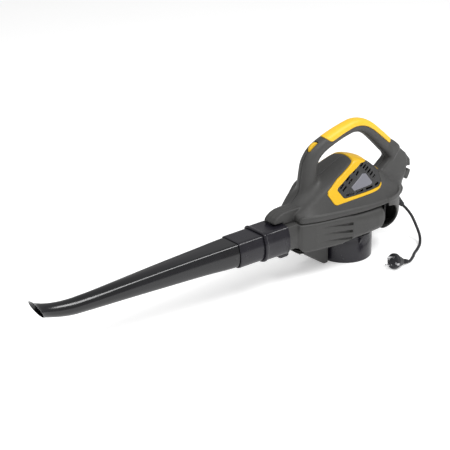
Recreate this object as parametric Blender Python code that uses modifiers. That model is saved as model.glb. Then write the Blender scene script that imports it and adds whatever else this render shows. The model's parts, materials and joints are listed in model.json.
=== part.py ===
"""Electric garden leaf blower, modelled as separate parts.

All lengths below are in millimetres and angles in degrees; MM turns them into metres when a mesh is made.
The design frame has the fan axis at X = 0, Y = 0 and the floor at Z = 0. -X points along the blowing tube,
+X to the rear, -Y to the user's left when the tube points away, +Z up.
The empty "blower" moves the whole model so that the world origin is under the middle of its box.
"""

import math

import bmesh
import bpy
from mathutils import Matrix, Vector

MM = 0.001
GAP = 0.3  # between pieces that touch
WALL = 2.6  # moulded housing wall
ACROSS = 110.0  # past the housing's side, for cutters that go right through
SMOOTH_ANGLE = 35.0  # edges blunter than this are shaded smooth

# Overall driving dimensions
NOZZLE_TIP_X = -888.0
HOOK_X = 210.0
CENTRE_X = (NOZZLE_TIP_X + HOOK_X) / 2
SHELL_HALF_WIDTH = 88.0

# Fan housing (scroll) and its outlet
SCROLL_BOTTOM = 69.0
SCROLL_TOP = 133.0
BASE_THICK = 3.0
INLET_RADIUS = 50.0
TUBE_Y = -16.0
TUBE_Z = 109.0
SLEEVE_HALF = 31.3

# Blowing tube
COLLAR_X = (-220.0, -293.0)
COLLAR_HALF = 34.0
MIDDLE_X = (-264.0, -362.0)
MIDDLE_HALF = 31.0
NOZZLE_START_X = -330.0
TUBE_WALL = 1.7

# Intake ring
RING_RADIUS = 67.0
RING_WALL = 2.6
RING_TOP = 64.5
GRILLE_Z = (30.0, 35.0)

# Motor, all on the fan axis
SHAFT_RADIUS = 5.0
SHAFT_Z = (78.0, 235.0)
STATOR_RADIUS = 43.0
STATOR_Z = (160.0, 200.0)
ARMATURE_RADIUS = 23.5

# Speed dial in the top front bend of the handle
DIAL_X, DIAL_Z = -102.0, 285.5
DIAL_RADIUS = 16.5
DIAL_WIDTH = 8.4

# Cord
CORD_RADIUS = 3.5
GLAND_ROOT = Vector((170.5, 0.0, 92.0))
GLAND_TIP = Vector((190.0, -5.0, 70.0))
GLAND_AXIS = (GLAND_TIP - GLAND_ROOT).normalized()
PLUG_FACE = Vector((22.0, -143.0, 19.4))
PLUG_AXIS = Vector((-0.957, 0.05, 0.28)).normalized()
PLUG_LENGTH = 48.0
CORD_ROUTE = (
    (195.0, -14.0, 61.0), (197.5, -29.0, 48.0), (193.0, -50.0, 30.5), (184.0, -72.0, 14.0),
    (165.0, -92.0, 5.4), (141.0, -108.0, 3.8), (119.0, -120.0, 3.8), (101.0, -132.5, 3.8),
)

# Housing screws: X, Z, half width of the housing there
SCREWS = (
    (-121.0, 232.0, 17.0),
    (-122.0, 182.0, 53.0),
    (146.0, 221.0, 15.0),
    (177.0, 194.0, 15.0),
    (168.0, 146.0, 15.0),
    (-165.0, 150.0, 62.0),
)

MATERIALS = {
    "housing_grey": ((0.07, 0.07, 0.069, 1), 0.55, 0.0),
    "accent_yellow": ((0.86, 0.55, 0.02, 1), 0.45, 0.0),
    "tube_black": ((0.022, 0.021, 0.025, 1), 0.22, 0.0),
    "panel_grey": ((0.045, 0.045, 0.047, 1), 0.6, 0.0),
    "badge_grey": ((0.2, 0.2, 0.23, 1), 0.4, 0.0),
    "cord_rubber": ((0.025, 0.025, 0.027, 1), 0.6, 0.0),
    "inner_plastic": ((0.03, 0.03, 0.032, 1), 0.5, 0.0),
    "steel": ((0.56, 0.56, 0.57, 1), 0.3, 1.0),
    "core_steel": ((0.35, 0.35, 0.37, 1), 0.45, 1.0),
    "copper": ((0.8, 0.4, 0.2, 1), 0.35, 1.0),
    "brass": ((0.8, 0.62, 0.3, 1), 0.3, 1.0),
    "carbon": ((0.03, 0.03, 0.03, 1), 0.7, 0.0),
    "fan_plastic": ((0.05, 0.05, 0.055, 1), 0.5, 0.0),
    "board_green": ((0.02, 0.12, 0.05, 1), 0.5, 0.0),
}


# ---------------------------------------------------------------- scene and helpers


def clear_scene():
    for item in list(bpy.data.objects):
        bpy.data.objects.remove(item, do_unlink=True)


def new_collection(name):
    made = bpy.data.collections.new(name)
    bpy.context.scene.collection.children.link(made)
    return made


clear_scene()
PARTS = new_collection("leaf_blower")
CUTTERS = new_collection("cutters")


def make_materials():
    made = {}
    for name, (colour, roughness, metallic) in MATERIALS.items():
        material = bpy.data.materials.new(name)
        material.use_nodes = True
        shader = material.node_tree.nodes["Principled BSDF"]
        shader.inputs["Base Color"].default_value = colour
        shader.inputs["Roughness"].default_value = roughness
        shader.inputs["Metallic"].default_value = metallic
        material.diffuse_color = colour
        made[name] = material
    return made


MADE_MATERIALS = make_materials()


def keep_mesh(bm, name):
    """A new object in the cutters collection from a bmesh in millimetres."""
    bmesh.ops.scale(bm, vec=(MM, MM, MM), verts=bm.verts)
    bmesh.ops.recalc_face_normals(bm, faces=bm.faces)
    mesh = bpy.data.meshes.new(name)
    bm.to_mesh(mesh)
    bm.free()
    made = bpy.data.objects.new(name, mesh)
    CUTTERS.objects.link(made)
    return made


def from_curve(curve, name, place=None):
    """Turn a curve (in millimetres) into a welded mesh object."""
    holder = bpy.data.objects.new(name, curve)
    CUTTERS.objects.link(holder)
    bpy.context.view_layer.update()
    mesh = bpy.data.meshes.new_from_object(holder.evaluated_get(bpy.context.evaluated_depsgraph_get()))
    bpy.data.objects.remove(holder, do_unlink=True)
    bm = bmesh.new()
    bm.from_mesh(mesh)
    bmesh.ops.remove_doubles(bm, verts=bm.verts, dist=0.001)
    if place is not None:
        bmesh.ops.transform(bm, matrix=place, verts=bm.verts)
    return keep_mesh(bm, name)


def prism(name, outline, along, low, high):
    """A flat outline given thickness. along "Y": outline is (x, z); "Z": (x, y); "X": (y, z)."""
    curve = bpy.data.curves.new(name, "CURVE")
    curve.dimensions = "2D"
    curve.fill_mode = "BOTH"
    curve.extrude = (high - low) / 2
    spline = curve.splines.new("POLY")
    spline.points.add(len(outline) - 1)
    for point, (a, b) in zip(spline.points, outline):
        point.co = (a, b, 0, 1)
    spline.use_cyclic_u = True
    middle = (low + high) / 2
    if along == "Y":
        place = Matrix.Translation((0, middle, 0)) @ Matrix.Rotation(math.pi / 2, 4, "X")
    elif along == "X":
        place = Matrix.Translation((middle, 0, 0)) @ Matrix(((0, 0, 1, 0), (1, 0, 0, 0), (0, 1, 0, 0), (0, 0, 0, 1)))
    else:
        place = Matrix.Translation((0, 0, middle))
    return from_curve(curve, name, place)


def tube_along(name, points, radius, resolution=2):
    """A round solid along a list of points."""
    curve = bpy.data.curves.new(name, "CURVE")
    curve.dimensions = "3D"
    curve.bevel_depth = radius
    curve.bevel_resolution = resolution
    curve.use_fill_caps = True
    spline = curve.splines.new("POLY")
    spline.points.add(len(points) - 1)
    for point, place in zip(spline.points, points):
        point.co = (*place, 1)
    return from_curve(curve, name)


def bridge(bm, row, following):
    """Triangles between two rings, always split the same way so that offset skins stay parallel."""
    for i in range(len(row)):
        j = (i + 1) % len(row)
        bm.faces.new((row[i], row[j], following[j]))
        bm.faces.new((row[i], following[j], following[i]))


def loft(name, rings):
    """A closed solid through rings of equal point count, with flat ends."""
    bm = bmesh.new()
    rows = [[bm.verts.new(point) for point in ring] for ring in rings]
    for row, following in zip(rows, rows[1:]):
        bridge(bm, row, following)
    bm.faces.new(rows[0])
    bm.faces.new(list(reversed(rows[-1])))
    return keep_mesh(bm, name)


def loft_shell(name, outer, inner):
    """A tube open at both ends: outer rings front to back, inner rings front to back."""
    bm = bmesh.new()
    rows = [[bm.verts.new(point) for point in ring] for ring in (*outer, *reversed(inner))]
    for row, following in zip(rows, rows[1:] + rows[:1]):
        bridge(bm, row, following)
    return keep_mesh(bm, name)


def turned(name, profile, steps=32, centre=(0.0, 0.0, 0.0), axis=None):
    """A solid of revolution. profile is (radius, z) from top to bottom on the outer side, closed."""
    mesh = bpy.data.meshes.new(name)
    bm = bmesh.new()
    points = [bm.verts.new((max(r, 0.0), 0, z)) for r, z in profile]
    for one, other in zip(points, points[1:]):
        bm.edges.new((one, other))
    if profile[0][0] > 0 and profile[-1][0] > 0:
        bm.edges.new((points[-1], points[0]))
    bm.to_mesh(mesh)
    bm.free()
    holder = bpy.data.objects.new(name, mesh)
    CUTTERS.objects.link(holder)
    screw = holder.modifiers.new("turn", "SCREW")
    screw.axis = "Z"
    screw.steps = steps
    screw.render_steps = steps
    screw.use_merge_vertices = True
    screw.merge_threshold = 0.0001
    bpy.context.view_layer.update()
    turned_mesh = bpy.data.meshes.new_from_object(holder.evaluated_get(bpy.context.evaluated_depsgraph_get()))
    bpy.data.objects.remove(holder, do_unlink=True)
    bm = bmesh.new()
    bm.from_mesh(turned_mesh)
    bmesh.ops.remove_doubles(bm, verts=bm.verts, dist=0.001)
    turn = Matrix.Identity(4)
    if axis is not None:
        turn = Vector((0, 0, 1)).rotation_difference(Vector(axis)).to_matrix().to_4x4()
    bmesh.ops.transform(bm, matrix=Matrix.Translation(Vector(centre)) @ turn, verts=bm.verts)
    return keep_mesh(bm, name)


def cylinder(name, radius, start, end, sides=24):
    """A round bar between two points."""
    start, end = Vector(start), Vector(end)
    axis = end - start
    bm = bmesh.new()
    bmesh.ops.create_cone(bm, cap_ends=True, segments=sides, radius1=radius, radius2=radius, depth=axis.length)
    turn = Vector((0, 0, 1)).rotation_difference(axis).to_matrix().to_4x4()
    bmesh.ops.transform(bm, matrix=Matrix.Translation((start + end) / 2) @ turn, verts=bm.verts)
    return keep_mesh(bm, name)


def box(name, low, high):
    bm = bmesh.new()
    bmesh.ops.create_cube(bm, size=1)
    size = [b - a for a, b in zip(low, high)]
    middle = [(a + b) / 2 for a, b in zip(low, high)]
    bmesh.ops.scale(bm, vec=size, verts=bm.verts)
    bmesh.ops.translate(bm, vec=middle, verts=bm.verts)
    return keep_mesh(bm, name)


def combine(target, other, operation):
    """Boolean target with other, EXACT solver. The other object is removed."""
    modifier = target.modifiers.new(operation, "BOOLEAN")
    modifier.operation = operation
    modifier.solver = "EXACT"
    modifier.object = other
    bpy.context.view_layer.update()
    mesh = bpy.data.meshes.new_from_object(target.evaluated_get(bpy.context.evaluated_depsgraph_get()))
    target.modifiers.clear()
    target.data = mesh
    bpy.data.objects.remove(other, do_unlink=True)
    return target


def union(first, *others):
    for other in others:
        combine(first, other, "UNION")
    return first


def cut(first, *others):
    for other in others:
        combine(first, other, "DIFFERENCE")
    return first


def copy_of(source):
    twin = source.copy()
    twin.data = source.data.copy()
    CUTTERS.objects.link(twin)
    return twin


def common(first, other):
    return combine(first, other, "INTERSECT")


def finish_part(shape, name, material, parent):
    """Weld, name and file a finished solid under its parent empty."""
    bm = bmesh.new()
    bm.from_mesh(shape.data)
    bmesh.ops.remove_doubles(bm, verts=bm.verts, dist=0.00002)
    bmesh.ops.dissolve_degenerate(bm, dist=0.00001, edges=bm.edges)
    bm.to_mesh(shape.data)
    bm.free()
    shape.name = name
    shape.data.name = name
    shape.data.materials.clear()
    shape.data.materials.append(MADE_MATERIALS[material])
    shape.data.shade_smooth()
    shape.data.set_sharp_from_angle(angle=math.radians(SMOOTH_ANGLE))
    CUTTERS.objects.unlink(shape)
    PARTS.objects.link(shape)
    shape.parent = parent
    shape.location = -Vector(parent["at"]) * MM
    return shape


def empty(name, at, parent=None):
    """A parent at a design-frame point; children keep design-frame meshes."""
    made = bpy.data.objects.new(name, None)
    PARTS.objects.link(made)
    made["at"] = at
    if parent is None:
        made.location = (-CENTRE_X * MM, 0, 0)
    else:
        made.parent = parent
        made.location = (Vector(at) - Vector(parent["at"])) * MM
    return made


BLOWER = empty("blower", (0.0, 0.0, 0.0))
ROTOR = empty("rotor_axis", (0.0, 0.0, 150.0), BLOWER)
DIAL = empty("dial_axis", (DIAL_X, 0.0, DIAL_Z), BLOWER)
RING = empty("ring_axis", (0.0, 0.0, 30.0), BLOWER)
LATCH = empty("latch_slide", (-213.0, TUBE_Y, 66.0), BLOWER)
CATCH = empty("catch_slide", (74.0, 0.0, 61.0), BLOWER)


# ---------------------------------------------------------------- shared sections

# Half outline of the blowing tube's section, for a half height of 1: flat top, bulging sides
BARREL = (
    (0.0, 1.0), (0.86, 1.0), (0.99, 0.88), (1.13, 0.48), (1.22, 0.0),
    (1.2, -0.48), (1.05, -0.88), (0.76, -1.0), (0.0, -1.0),
)
BARREL_ANGLES = (90, 52, 42, 21, 0, -22, -46, -64, -90)


def tube_ring(x, half, roundness=0.0, z=TUBE_Z, tilt=0.0):
    """The tube's section at x. roundness 0 is the barrel, 1 a circle; tilt leans the top forward (-X)."""
    side = []
    for (across, up), angle in zip(BARREL, BARREL_ANGLES):
        a = math.radians(angle)
        across = (1 - roundness) * across + roundness * math.cos(a)
        up = (1 - roundness) * up + roundness * math.sin(a)
        side.append((across * half, up * half))
    outline = side + [(-across, up) for across, up in reversed(side[1:-1])]
    lean = math.radians(tilt)
    return [(x - up * math.sin(lean), TUBE_Y + across, z + up * math.cos(lean)) for across, up in outline]


# Nozzle: X, half size, roundness, Z of the axis, tilt
NOZZLE = (
    (-330.0, 28.6, 0.0, 109.5, 0.0),
    (-362.0, 28.6, 0.0, 109.5, 0.0),
    (-450.0, 26.0, 0.15, 111.0, 0.0),
    (-560.0, 23.6, 0.4, 111.7, 0.0),
    (-670.0, 21.2, 0.75, 111.7, 0.0),
    (-760.0, 18.9, 1.0, 111.7, 0.0),
    (-795.0, 17.9, 1.0, 112.8, 4.0),
    (-823.0, 17.3, 1.0, 116.6, 11.0),
    (-845.0, 17.4, 1.0, 121.6, 17.0),
    (-860.0, 18.6, 1.0, 126.2, 22.0),
    (-872.0, 21.5, 1.0, 131.0, 27.0),
    (-877.0, 23.6, 1.0, 133.6, 28.0),
)


def shell_section(x, belt, crease, ridge, grow=0.0, low=SCROLL_TOP + GAP):
    """The upper housing's section at x: belt half width, crease (y, z) and ridge height."""
    y, z = crease
    side = (
        (belt - 1.5 + grow, low),
        (belt + grow, low + 2.0),
        (belt + grow, 147.0 + grow),
        (belt - 2.5 + grow, 151.0 + grow),
        (y + 3.0 + grow * 0.9, z - 4.0 + grow * 0.4),
        (y - 4.0 + grow * 0.4, z + grow),
        (0.0, ridge + grow),
    )
    return [(x, a, b) for a, b in side] + [(x, -a, b) for a, b in reversed(side[:-1])]


# Upper housing stations: X, belt half width, crease, ridge height
SHELL = (
    (-186.0, 52.0, (40.0, 158.0), 163.0),
    (-178.0, 60.0, (44.0, 162.0), 167.0),
    (-150.0, 68.0, (45.0, 177.0), 184.0),
    (-118.0, 74.0, (45.0, 197.0), 205.0),
    (-71.0, 80.0, (42.0, 219.0), 225.0),
    (-40.0, 84.0, (37.0, 234.0), 239.0),
    (-8.0, 87.0, (31.0, 245.0), 249.0),
    (20.0, SHELL_HALF_WIDTH, (30.0, 240.0), 244.0),
    (60.0, 85.0, (28.0, 216.0), 221.0),
    (96.0, 77.0, (25.0, 186.0), 190.0),
    (125.0, 63.0, (22.0, 166.0), 172.0),
    (150.0, 45.0, (18.0, 158.0), 162.0),
    (168.0, 22.0, (12.0, 153.0), 156.0),
)

# Handle centreline: X, Z, direction in degrees from +X, half depth in the handle's plane, half width
HANDLE = (
    (-124.0, 158.0, 90.0, 44.0, 30.0),
    (-122.0, 178.0, 90.0, 33.0, 26.0),
    (-121.0, 195.0, 90.0, 26.5, 23.0),
    (-121.5, 213.0, 90.0, 23.0, 21.0),
    (-121.0, 235.0, 86.0, 20.5, 20.0),
    (-117.0, 257.0, 72.0, 19.5, 19.0),
    (-104.0, 276.0, 46.0, 18.5, 18.0),
    (-82.0, 290.0, 27.0, 17.0, 17.0),
    (-48.0, 302.5, 18.0, 16.0, 16.5),
    (-12.0, 312.0, 12.0, 15.8, 16.0),
    (16.0, 316.0, -3.0, 16.0, 16.0),
    (42.0, 310.5, -25.0, 16.4, 16.0),
    (66.0, 296.5, -37.0, 17.0, 16.2),
    (95.0, 271.0, -43.0, 18.0, 16.8),
    (124.0, 243.5, -43.0, 19.0, 17.5),
    (146.0, 224.0, -43.0, 20.0, 17.5),
)
GRIP_SPAN = (7, 14)  # stations of HANDLE between which the grip lies
GRIP_THICK = 3.0
GRIP_HALF_ANGLE = 100.0


def handle_ring(station, inset=0.0, sides=16, angles=None):
    x, z, direction, deep, wide = station
    a = math.radians(direction)
    out = Vector((-math.sin(a), 0, math.cos(a)))
    across = Vector((0, 1, 0))
    angles = angles or [360 * i / sides for i in range(sides)]
    ring = []
    for angle in angles:
        t = math.radians(angle)
        point = Vector((x, 0, z)) + out * ((deep - inset) * math.cos(t)) + across * ((wide - inset) * math.sin(t))
        ring.append(tuple(point))
    return ring


REAR_WEB = (
    (128, 238), (147, 243), (161, 231), (184, 211), (190, 190), (187, 168), (182, 150), (178, 138),
    (174, 124), (171, 110), (169, 99), (160, 90), (140, 118), (105, 145), (96, 178), (103, 187),
    (118, 197), (131, 208), (128, 224),
)
WEB_INSIDE = (
    (133, 226), (158, 222), (180, 205), (180, 172), (174, 150), (160, 124), (140, 128), (118, 150),
    (118, 185), (137, 205),
)
HOOKS = (
    (180, 214), (186, 211), (206, 187), (HOOK_X - 2, 173), (207, 169), (198, 171), (190, 167), (189, 162),
    (196, 158), (204, 162), (HOOK_X, 158), (208, 151), (201, 137), (197, 136), (189, 146), (180, 147),
    (174, 160), (174, 200),
)
HOOD = (
    (-160, 146.5), (-238, 146.5), (-245, 149), (-245, 153), (-240, 159), (-231, 164), (-218, 167), (-200, 168),
    (-160, 168),
)
HOOD_SIDES = (TUBE_Y - 15, TUBE_Y + 21)

# Side view outlines of the dome's cover area: the yellow trim band and what it frames
TRIM_OUTER = (
    (-9, 262), (-8, 243), (-27, 235), (-68, 217), (-102, 197), (-104.5, 189), (-93, 167), (-87, 164), (-39, 166),
    (40, 167), (58, 168.5), (66, 171), (60.5, 174.5), (49.5, 229), (50, 262),
)
PANEL_EDGE = (
    (50, 262), (49.5, 229), (11, 234), (0, 229), (-33, 218), (-73, 199), (-76, 194.5), (-64, 175.5), (-58, 173),
    (54, 172.5), (62, 174.5), (66.5, 173), (70, 185), (74, 195), (84, 195), (86, 262),
)
REAR_TRIM = ((84.5, 195.3), (91.5, 195.3), (93.5, 262), (86.5, 262))
COVER_AREA = (
    (-9, 262), (-8, 243), (-27, 235), (-68, 217), (-102, 197), (-104.5, 189), (-93, 167), (-87, 164), (-39, 166),
    (40, 167), (58, 168.5), (67, 171), (70.5, 185), (74.5, 194.7), (92, 194.7), (94, 262),
)
BADGE = ((9, 212), (20, 210), (34, 187), (27, 184), (-30, 183), (-35, 192))

BADGE_FROM = 12.0  # badges and slots start this far from the centre plane

# Vent slots on the side panels: from (X, Z) to (X, Z)
SLOT_WIDTH = 3.0
SLOTS = (
    ((21, 231), (9, 227)), ((30, 225.5), (16, 221.5)), ((37, 219), (22, 215.5)), ((43, 212), (27, 208.5)),
    ((48, 204.5), (33, 201.5)), ((53, 196.5), (38, 193.5)),
    ((-9, 225.5), (-18, 220)), ((-1, 219), (-11, 212.5)), ((-32, 215), (-45, 207)), ((-25, 208), (-39, 200.5)),
    ((-54, 203.5), (-66, 195.5)), ((-47, 197), (-61, 189)),
    ((-31, 178), (-54, 178)), ((-2, 178.5), (-25, 178)), ((31, 178), (8, 178.5)), ((57, 179), (41, 178)),
)


def bar_outline(start, end, width):
    """A rectangle round the line from start to end."""
    along = Vector((end[0] - start[0], end[1] - start[1])).normalized()
    dx, dz = -along.y * width / 2, along.x * width / 2
    (ax, az), (bx, bz) = start, end
    return ((ax + dx, az + dz), (bx + dx, bz + dz), (bx - dx, bz - dz), (ax - dx, az - dz))


def scaled_outline(outline, by):
    """Move each point of an outline away from its middle by a fixed distance."""
    middle_x = sum(x for x, _ in outline) / len(outline)
    middle_z = sum(z for _, z in outline) / len(outline)
    moved = []
    for x, z in outline:
        dx, dz = x - middle_x, z - middle_z
        long = math.hypot(dx, dz)
        moved.append((x + by * dx / long, z + by * dz / long))
    return moved


# ---------------------------------------------------------------- upper housing


def dome_solid(grow=0.0, low=SCROLL_TOP + GAP, ends=None):
    stations = SHELL if ends is None else [s for s in SHELL if ends[0] <= s[0] <= ends[1]]
    return loft("dome", [shell_section(x, belt, crease, ridge, grow, low) for x, belt, crease, ridge in stations])


def rear_skirt():
    """The wall that wraps round the back of the scroll, from near side to far side."""
    rear_x, half_y, centre = 152.0, 80.0, 60.0
    outer, inner = [], []
    for i in range(17):
        t = math.radians(-66 + 132 * i / 16)
        outer.append((centre + (rear_x - centre) * math.cos(t), half_y * math.sin(t)))
        inner.append((centre + (rear_x - centre - WALL) * math.cos(t), (half_y - WALL) * math.sin(t)))
    wall = prism("skirt", outer + inner[::-1], "Z", 52.0, SCROLL_TOP + 4)
    corner = [(95, 50), (95, 74)]
    for i in range(7):
        t = math.radians(90 * i / 6)
        corner.append((122 - 18 * math.cos(t) + 4, 74 - 20 * math.sin(t)))
    corner.append((126, 50))
    return cut(wall, prism("corner", corner, "Y", -90, 90))


def handle_solid(inset=0.0):
    return loft("handle", [handle_ring(station, inset) for station in HANDLE])


def grip_solid(grow):
    """The saddle on the outer side of the handle bar, made grow bigger all round when it is a cutter."""
    half = GRIP_HALF_ANGLE + grow * 3
    steps = 10
    angles = [-half + 2 * half * i / steps for i in range(steps + 1)]
    rings = []
    for station in HANDLE[GRIP_SPAN[0] : GRIP_SPAN[1] + 1]:
        outer = handle_ring(station, -0.6 - grow, angles=angles)
        inner = handle_ring(station, GRIP_THICK + grow, angles=angles[::-1])
        rings.append(outer + inner)
    if grow:
        for end, inward in ((0, 1), (-1, -2)):
            step = (Vector(rings[end][0]) - Vector(rings[inward][0])).normalized() * grow
            rings[end] = [tuple(Vector(point) + step) for point in rings[end]]
    return loft("grip", rings)


def housing():
    outer = union(
        dome_solid(),
        rear_skirt(),
        prism("web", REAR_WEB, "Y", -17, 17),
        prism("hooks", HOOKS, "Y", -7, 7),
        prism("hood", HOOD, "Y", *HOOD_SIDES),
        handle_solid(),
    )
    inside = dome_solid(-WALL, SCROLL_TOP - 5, (-178, 150))
    cut(outer, inside)
    cut(outer, prism("web_inside", WEB_INSIDE, "Y", -14, 14))
    cut(outer, handle_solid(3.0))
    for x, z, half in SCREWS:
        union(outer, cylinder("boss", 5.5, (x, -half, z), (x, half, z), 8))
    cut(outer, grip_solid(GAP))
    cut(outer, prism("cover", scaled_outline(COVER_AREA, GAP), "Y", -ACROSS, ACROSS))
    slot = DIAL_WIDTH / 2 + 0.8
    cut(outer, cylinder("dial_slot", DIAL_RADIUS + 0.8, (DIAL_X, -slot, DIAL_Z), (DIAL_X, slot, DIAL_Z), 32))
    cut(outer, cylinder("dial_body", 6.9, (DIAL_X, 3, DIAL_Z), (DIAL_X, 11.2, DIAL_Z), 16))
    union(outer, cylinder("gland_boss", 9.5, GLAND_ROOT - GLAND_AXIS * 9, GLAND_ROOT + GLAND_AXIS * 7, 12))
    cut(outer, cylinder("gland_hole", 6.2, GLAND_ROOT - GLAND_AXIS * 12, GLAND_ROOT + GLAND_AXIS * 9, 12))
    cut(outer, cylinder("gland_seat", 9.1, GLAND_ROOT + GLAND_AXIS * 6.9, GLAND_ROOT + GLAND_AXIS * 25, 12))
    for x, z, half in SCREWS:
        cut(outer, cylinder("head_hole", 4.2, (x, 6.7, z), (x, half + 12, z), 8))
        cut(outer, cylinder("shank_hole", 2.1, (x, 3.5 - half, z), (x, 7.2, z), 6))
    left = copy_of(outer)
    cut(left, box("half", (-300, -GAP / 2, 0), (300, 200, 400)))
    cut(outer, box("half", (-300, -200, 0), (300, GAP / 2, 400)))
    finish_part(left, "housing_left", "housing_grey", BLOWER)
    finish_part(outer, "housing_right", "housing_grey", BLOWER)


def screws():
    for number, (x, z, half) in enumerate(SCREWS, 1):
        head = cylinder("screw", 3.5, (x, 7.3, z), (x, 10.2, z), 8)
        shank = cylinder("shank", 1.5, (x, 4.5 - half, z), (x, 8.0, z), 6)
        finish_part(union(head, shank), f"housing_screw_{number}", "steel", BLOWER)


def covers():
    """Trim band, vent panels and badges, cut out of the dome's own skin."""
    def skin(grow, depth):
        outside = dome_solid(grow, ends=(-118, 125))
        return cut(outside, dome_solid(depth, 100.0))

    trim = skin(1.2, -2.4)
    common(trim, prism("band", TRIM_OUTER, "Y", -ACROSS, ACROSS))
    cut(trim, prism("frame", scaled_outline(PANEL_EDGE, GAP), "Y", -ACROSS, ACROSS))
    finish_part(trim, "dome_trim", "accent_yellow", BLOWER)
    strip = skin(1.2, -2.4)
    common(strip, prism("strip", REAR_TRIM, "Y", -ACROSS, ACROSS))
    finish_part(strip, "rear_trim", "accent_yellow", BLOWER)

    for side, name in ((-1, "left"), (1, "right")):
        panel = skin(-0.4, -2.6)
        common(panel, prism("inside", PANEL_EDGE, "Y", -ACROSS, ACROSS))
        low, high = (-ACROSS, -BADGE_FROM) if side < 0 else (BADGE_FROM, ACROSS)
        cut(panel, prism("badge_hole", scaled_outline(BADGE, GAP), "Y", low, high))
        for start, end in SLOTS:
            cut(panel, prism("slot", bar_outline(start, end, SLOT_WIDTH), "Y", low, high))
        other = (-GAP / 2, 200) if side < 0 else (-200, GAP / 2)
        cut(panel, box("other_side", (-300, other[0], 0), (300, other[1], 400)))
        finish_part(panel, f"vent_panel_{name}", "panel_grey", BLOWER)
        badge = skin(0.3, -2.0)
        common(badge, prism("plate", BADGE, "Y", low, high))
        finish_part(badge, f"badge_{name}", "badge_grey", BLOWER)


def grip():
    finish_part(grip_solid(0.0), "handle_grip", "accent_yellow", BLOWER)


# ---------------------------------------------------------------- fan housing and intake


def scroll_outline(inset=0.0):
    """Plan of the fan scroll, spiralling from the tongue round the rear to the outlet on the left."""
    points = [(-150, -69), (-100, -76), (-50, -83), (0, -87), (30, -87)]
    for i in range(1, 12):
        t = math.radians(-76 + 152 * i / 12)
        points.append((10 + 93 * math.cos(t), 89 * math.sin(t)))
    points += [(30, 87), (-5, 86), (-45, 76), (-85, 58), (-120, 36), (-150, 24)]
    if not inset:
        return points
    moved = []
    count = len(points)
    for i, (x, y) in enumerate(points):
        (ax, ay), (bx, by) = points[i - 1], points[(i + 1) % count]
        along = Vector((bx - ax, by - ay)).normalized()
        if i in (0, count - 1):
            moved.append((x - 5, y + (inset if y < 0 else -inset)))
        else:
            moved.append((x - along.y * inset, y + along.x * inset))
    return moved


def volute():
    outer = prism("scroll", scroll_outline(), "Z", SCROLL_BOTTOM + GAP, SCROLL_TOP)
    sections = ((-149, -69, 24, SCROLL_BOTTOM + GAP, SCROLL_TOP), (-189, -60, 12, 74, SCROLL_TOP))
    rings = []
    for x, near, far, low, high in sections:
        rings.append([(x, near, low), (x, near, high), (x, far, high), (x, far, low)])
    union(outer, loft("duct", rings))
    union(outer, loft("sleeve", [tube_ring(x, SLEEVE_HALF) for x in (-187.0, -258.0)]))
    inner = prism("hollow", scroll_outline(WALL), "Z", SCROLL_BOTTOM - 5, SCROLL_TOP - WALL)
    rings = []
    for x, near, far, low, high in ((-148, -66, 20, 72.5, 130), (-190, -51, 19, 82, 130)):
        rings.append([(x, near, low), (x, near, high), (x, far, high), (x, far, low)])
    bore = [tube_ring(x, SLEEVE_HALF - 2.0) for x in (-188.0, -265.0)]
    cut(outer, inner, loft("duct_hollow", rings), loft("bore", bore))
    cut(outer, cylinder("shaft_hole", 9.0, (0, 0, 120), (0, 0, 140), 24))
    for y in (TUBE_Y - 15.0, TUBE_Y + 13.0):
        union(outer, box("guide", (-214.0, y, 60.0), (-198.0, y + 2.0, 80.0)))
    finish_part(outer, "volute_case", "housing_grey", BLOWER)

    base = prism("base", scroll_outline(), "Z", SCROLL_BOTTOM - BASE_THICK, SCROLL_BOTTOM)
    collar = turned("collar", ((63, 66.5), (63, 57), (60, 57), (60, 66.5)), 32)
    union(base, collar)
    cut(base, cylinder("inlet", INLET_RADIUS, (0, 0, 60), (0, 0, 75), 32))
    cut(base, box("catch_slot", (66.0, -6.4, 60.0), (82.4, 6.4, 75.0)))
    finish_part(base, "volute_base", "housing_grey", BLOWER)

    top = SCROLL_BOTTOM - BASE_THICK - GAP
    foot = prism("foot", ((-72, 1), (-84, 1), (-150, 46), (-156, top), (-72, top)), "Y", -25, 25)
    hollow = ((-74.5, 3.5), (-83, 3.5), (-147.2, 47), (-152.5, 80), (-74.5, 80))
    cut(foot, prism("foot_hollow", hollow, "Y", -22.5, 22.5))
    finish_part(foot, "front_foot", "housing_grey", BLOWER)


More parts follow.
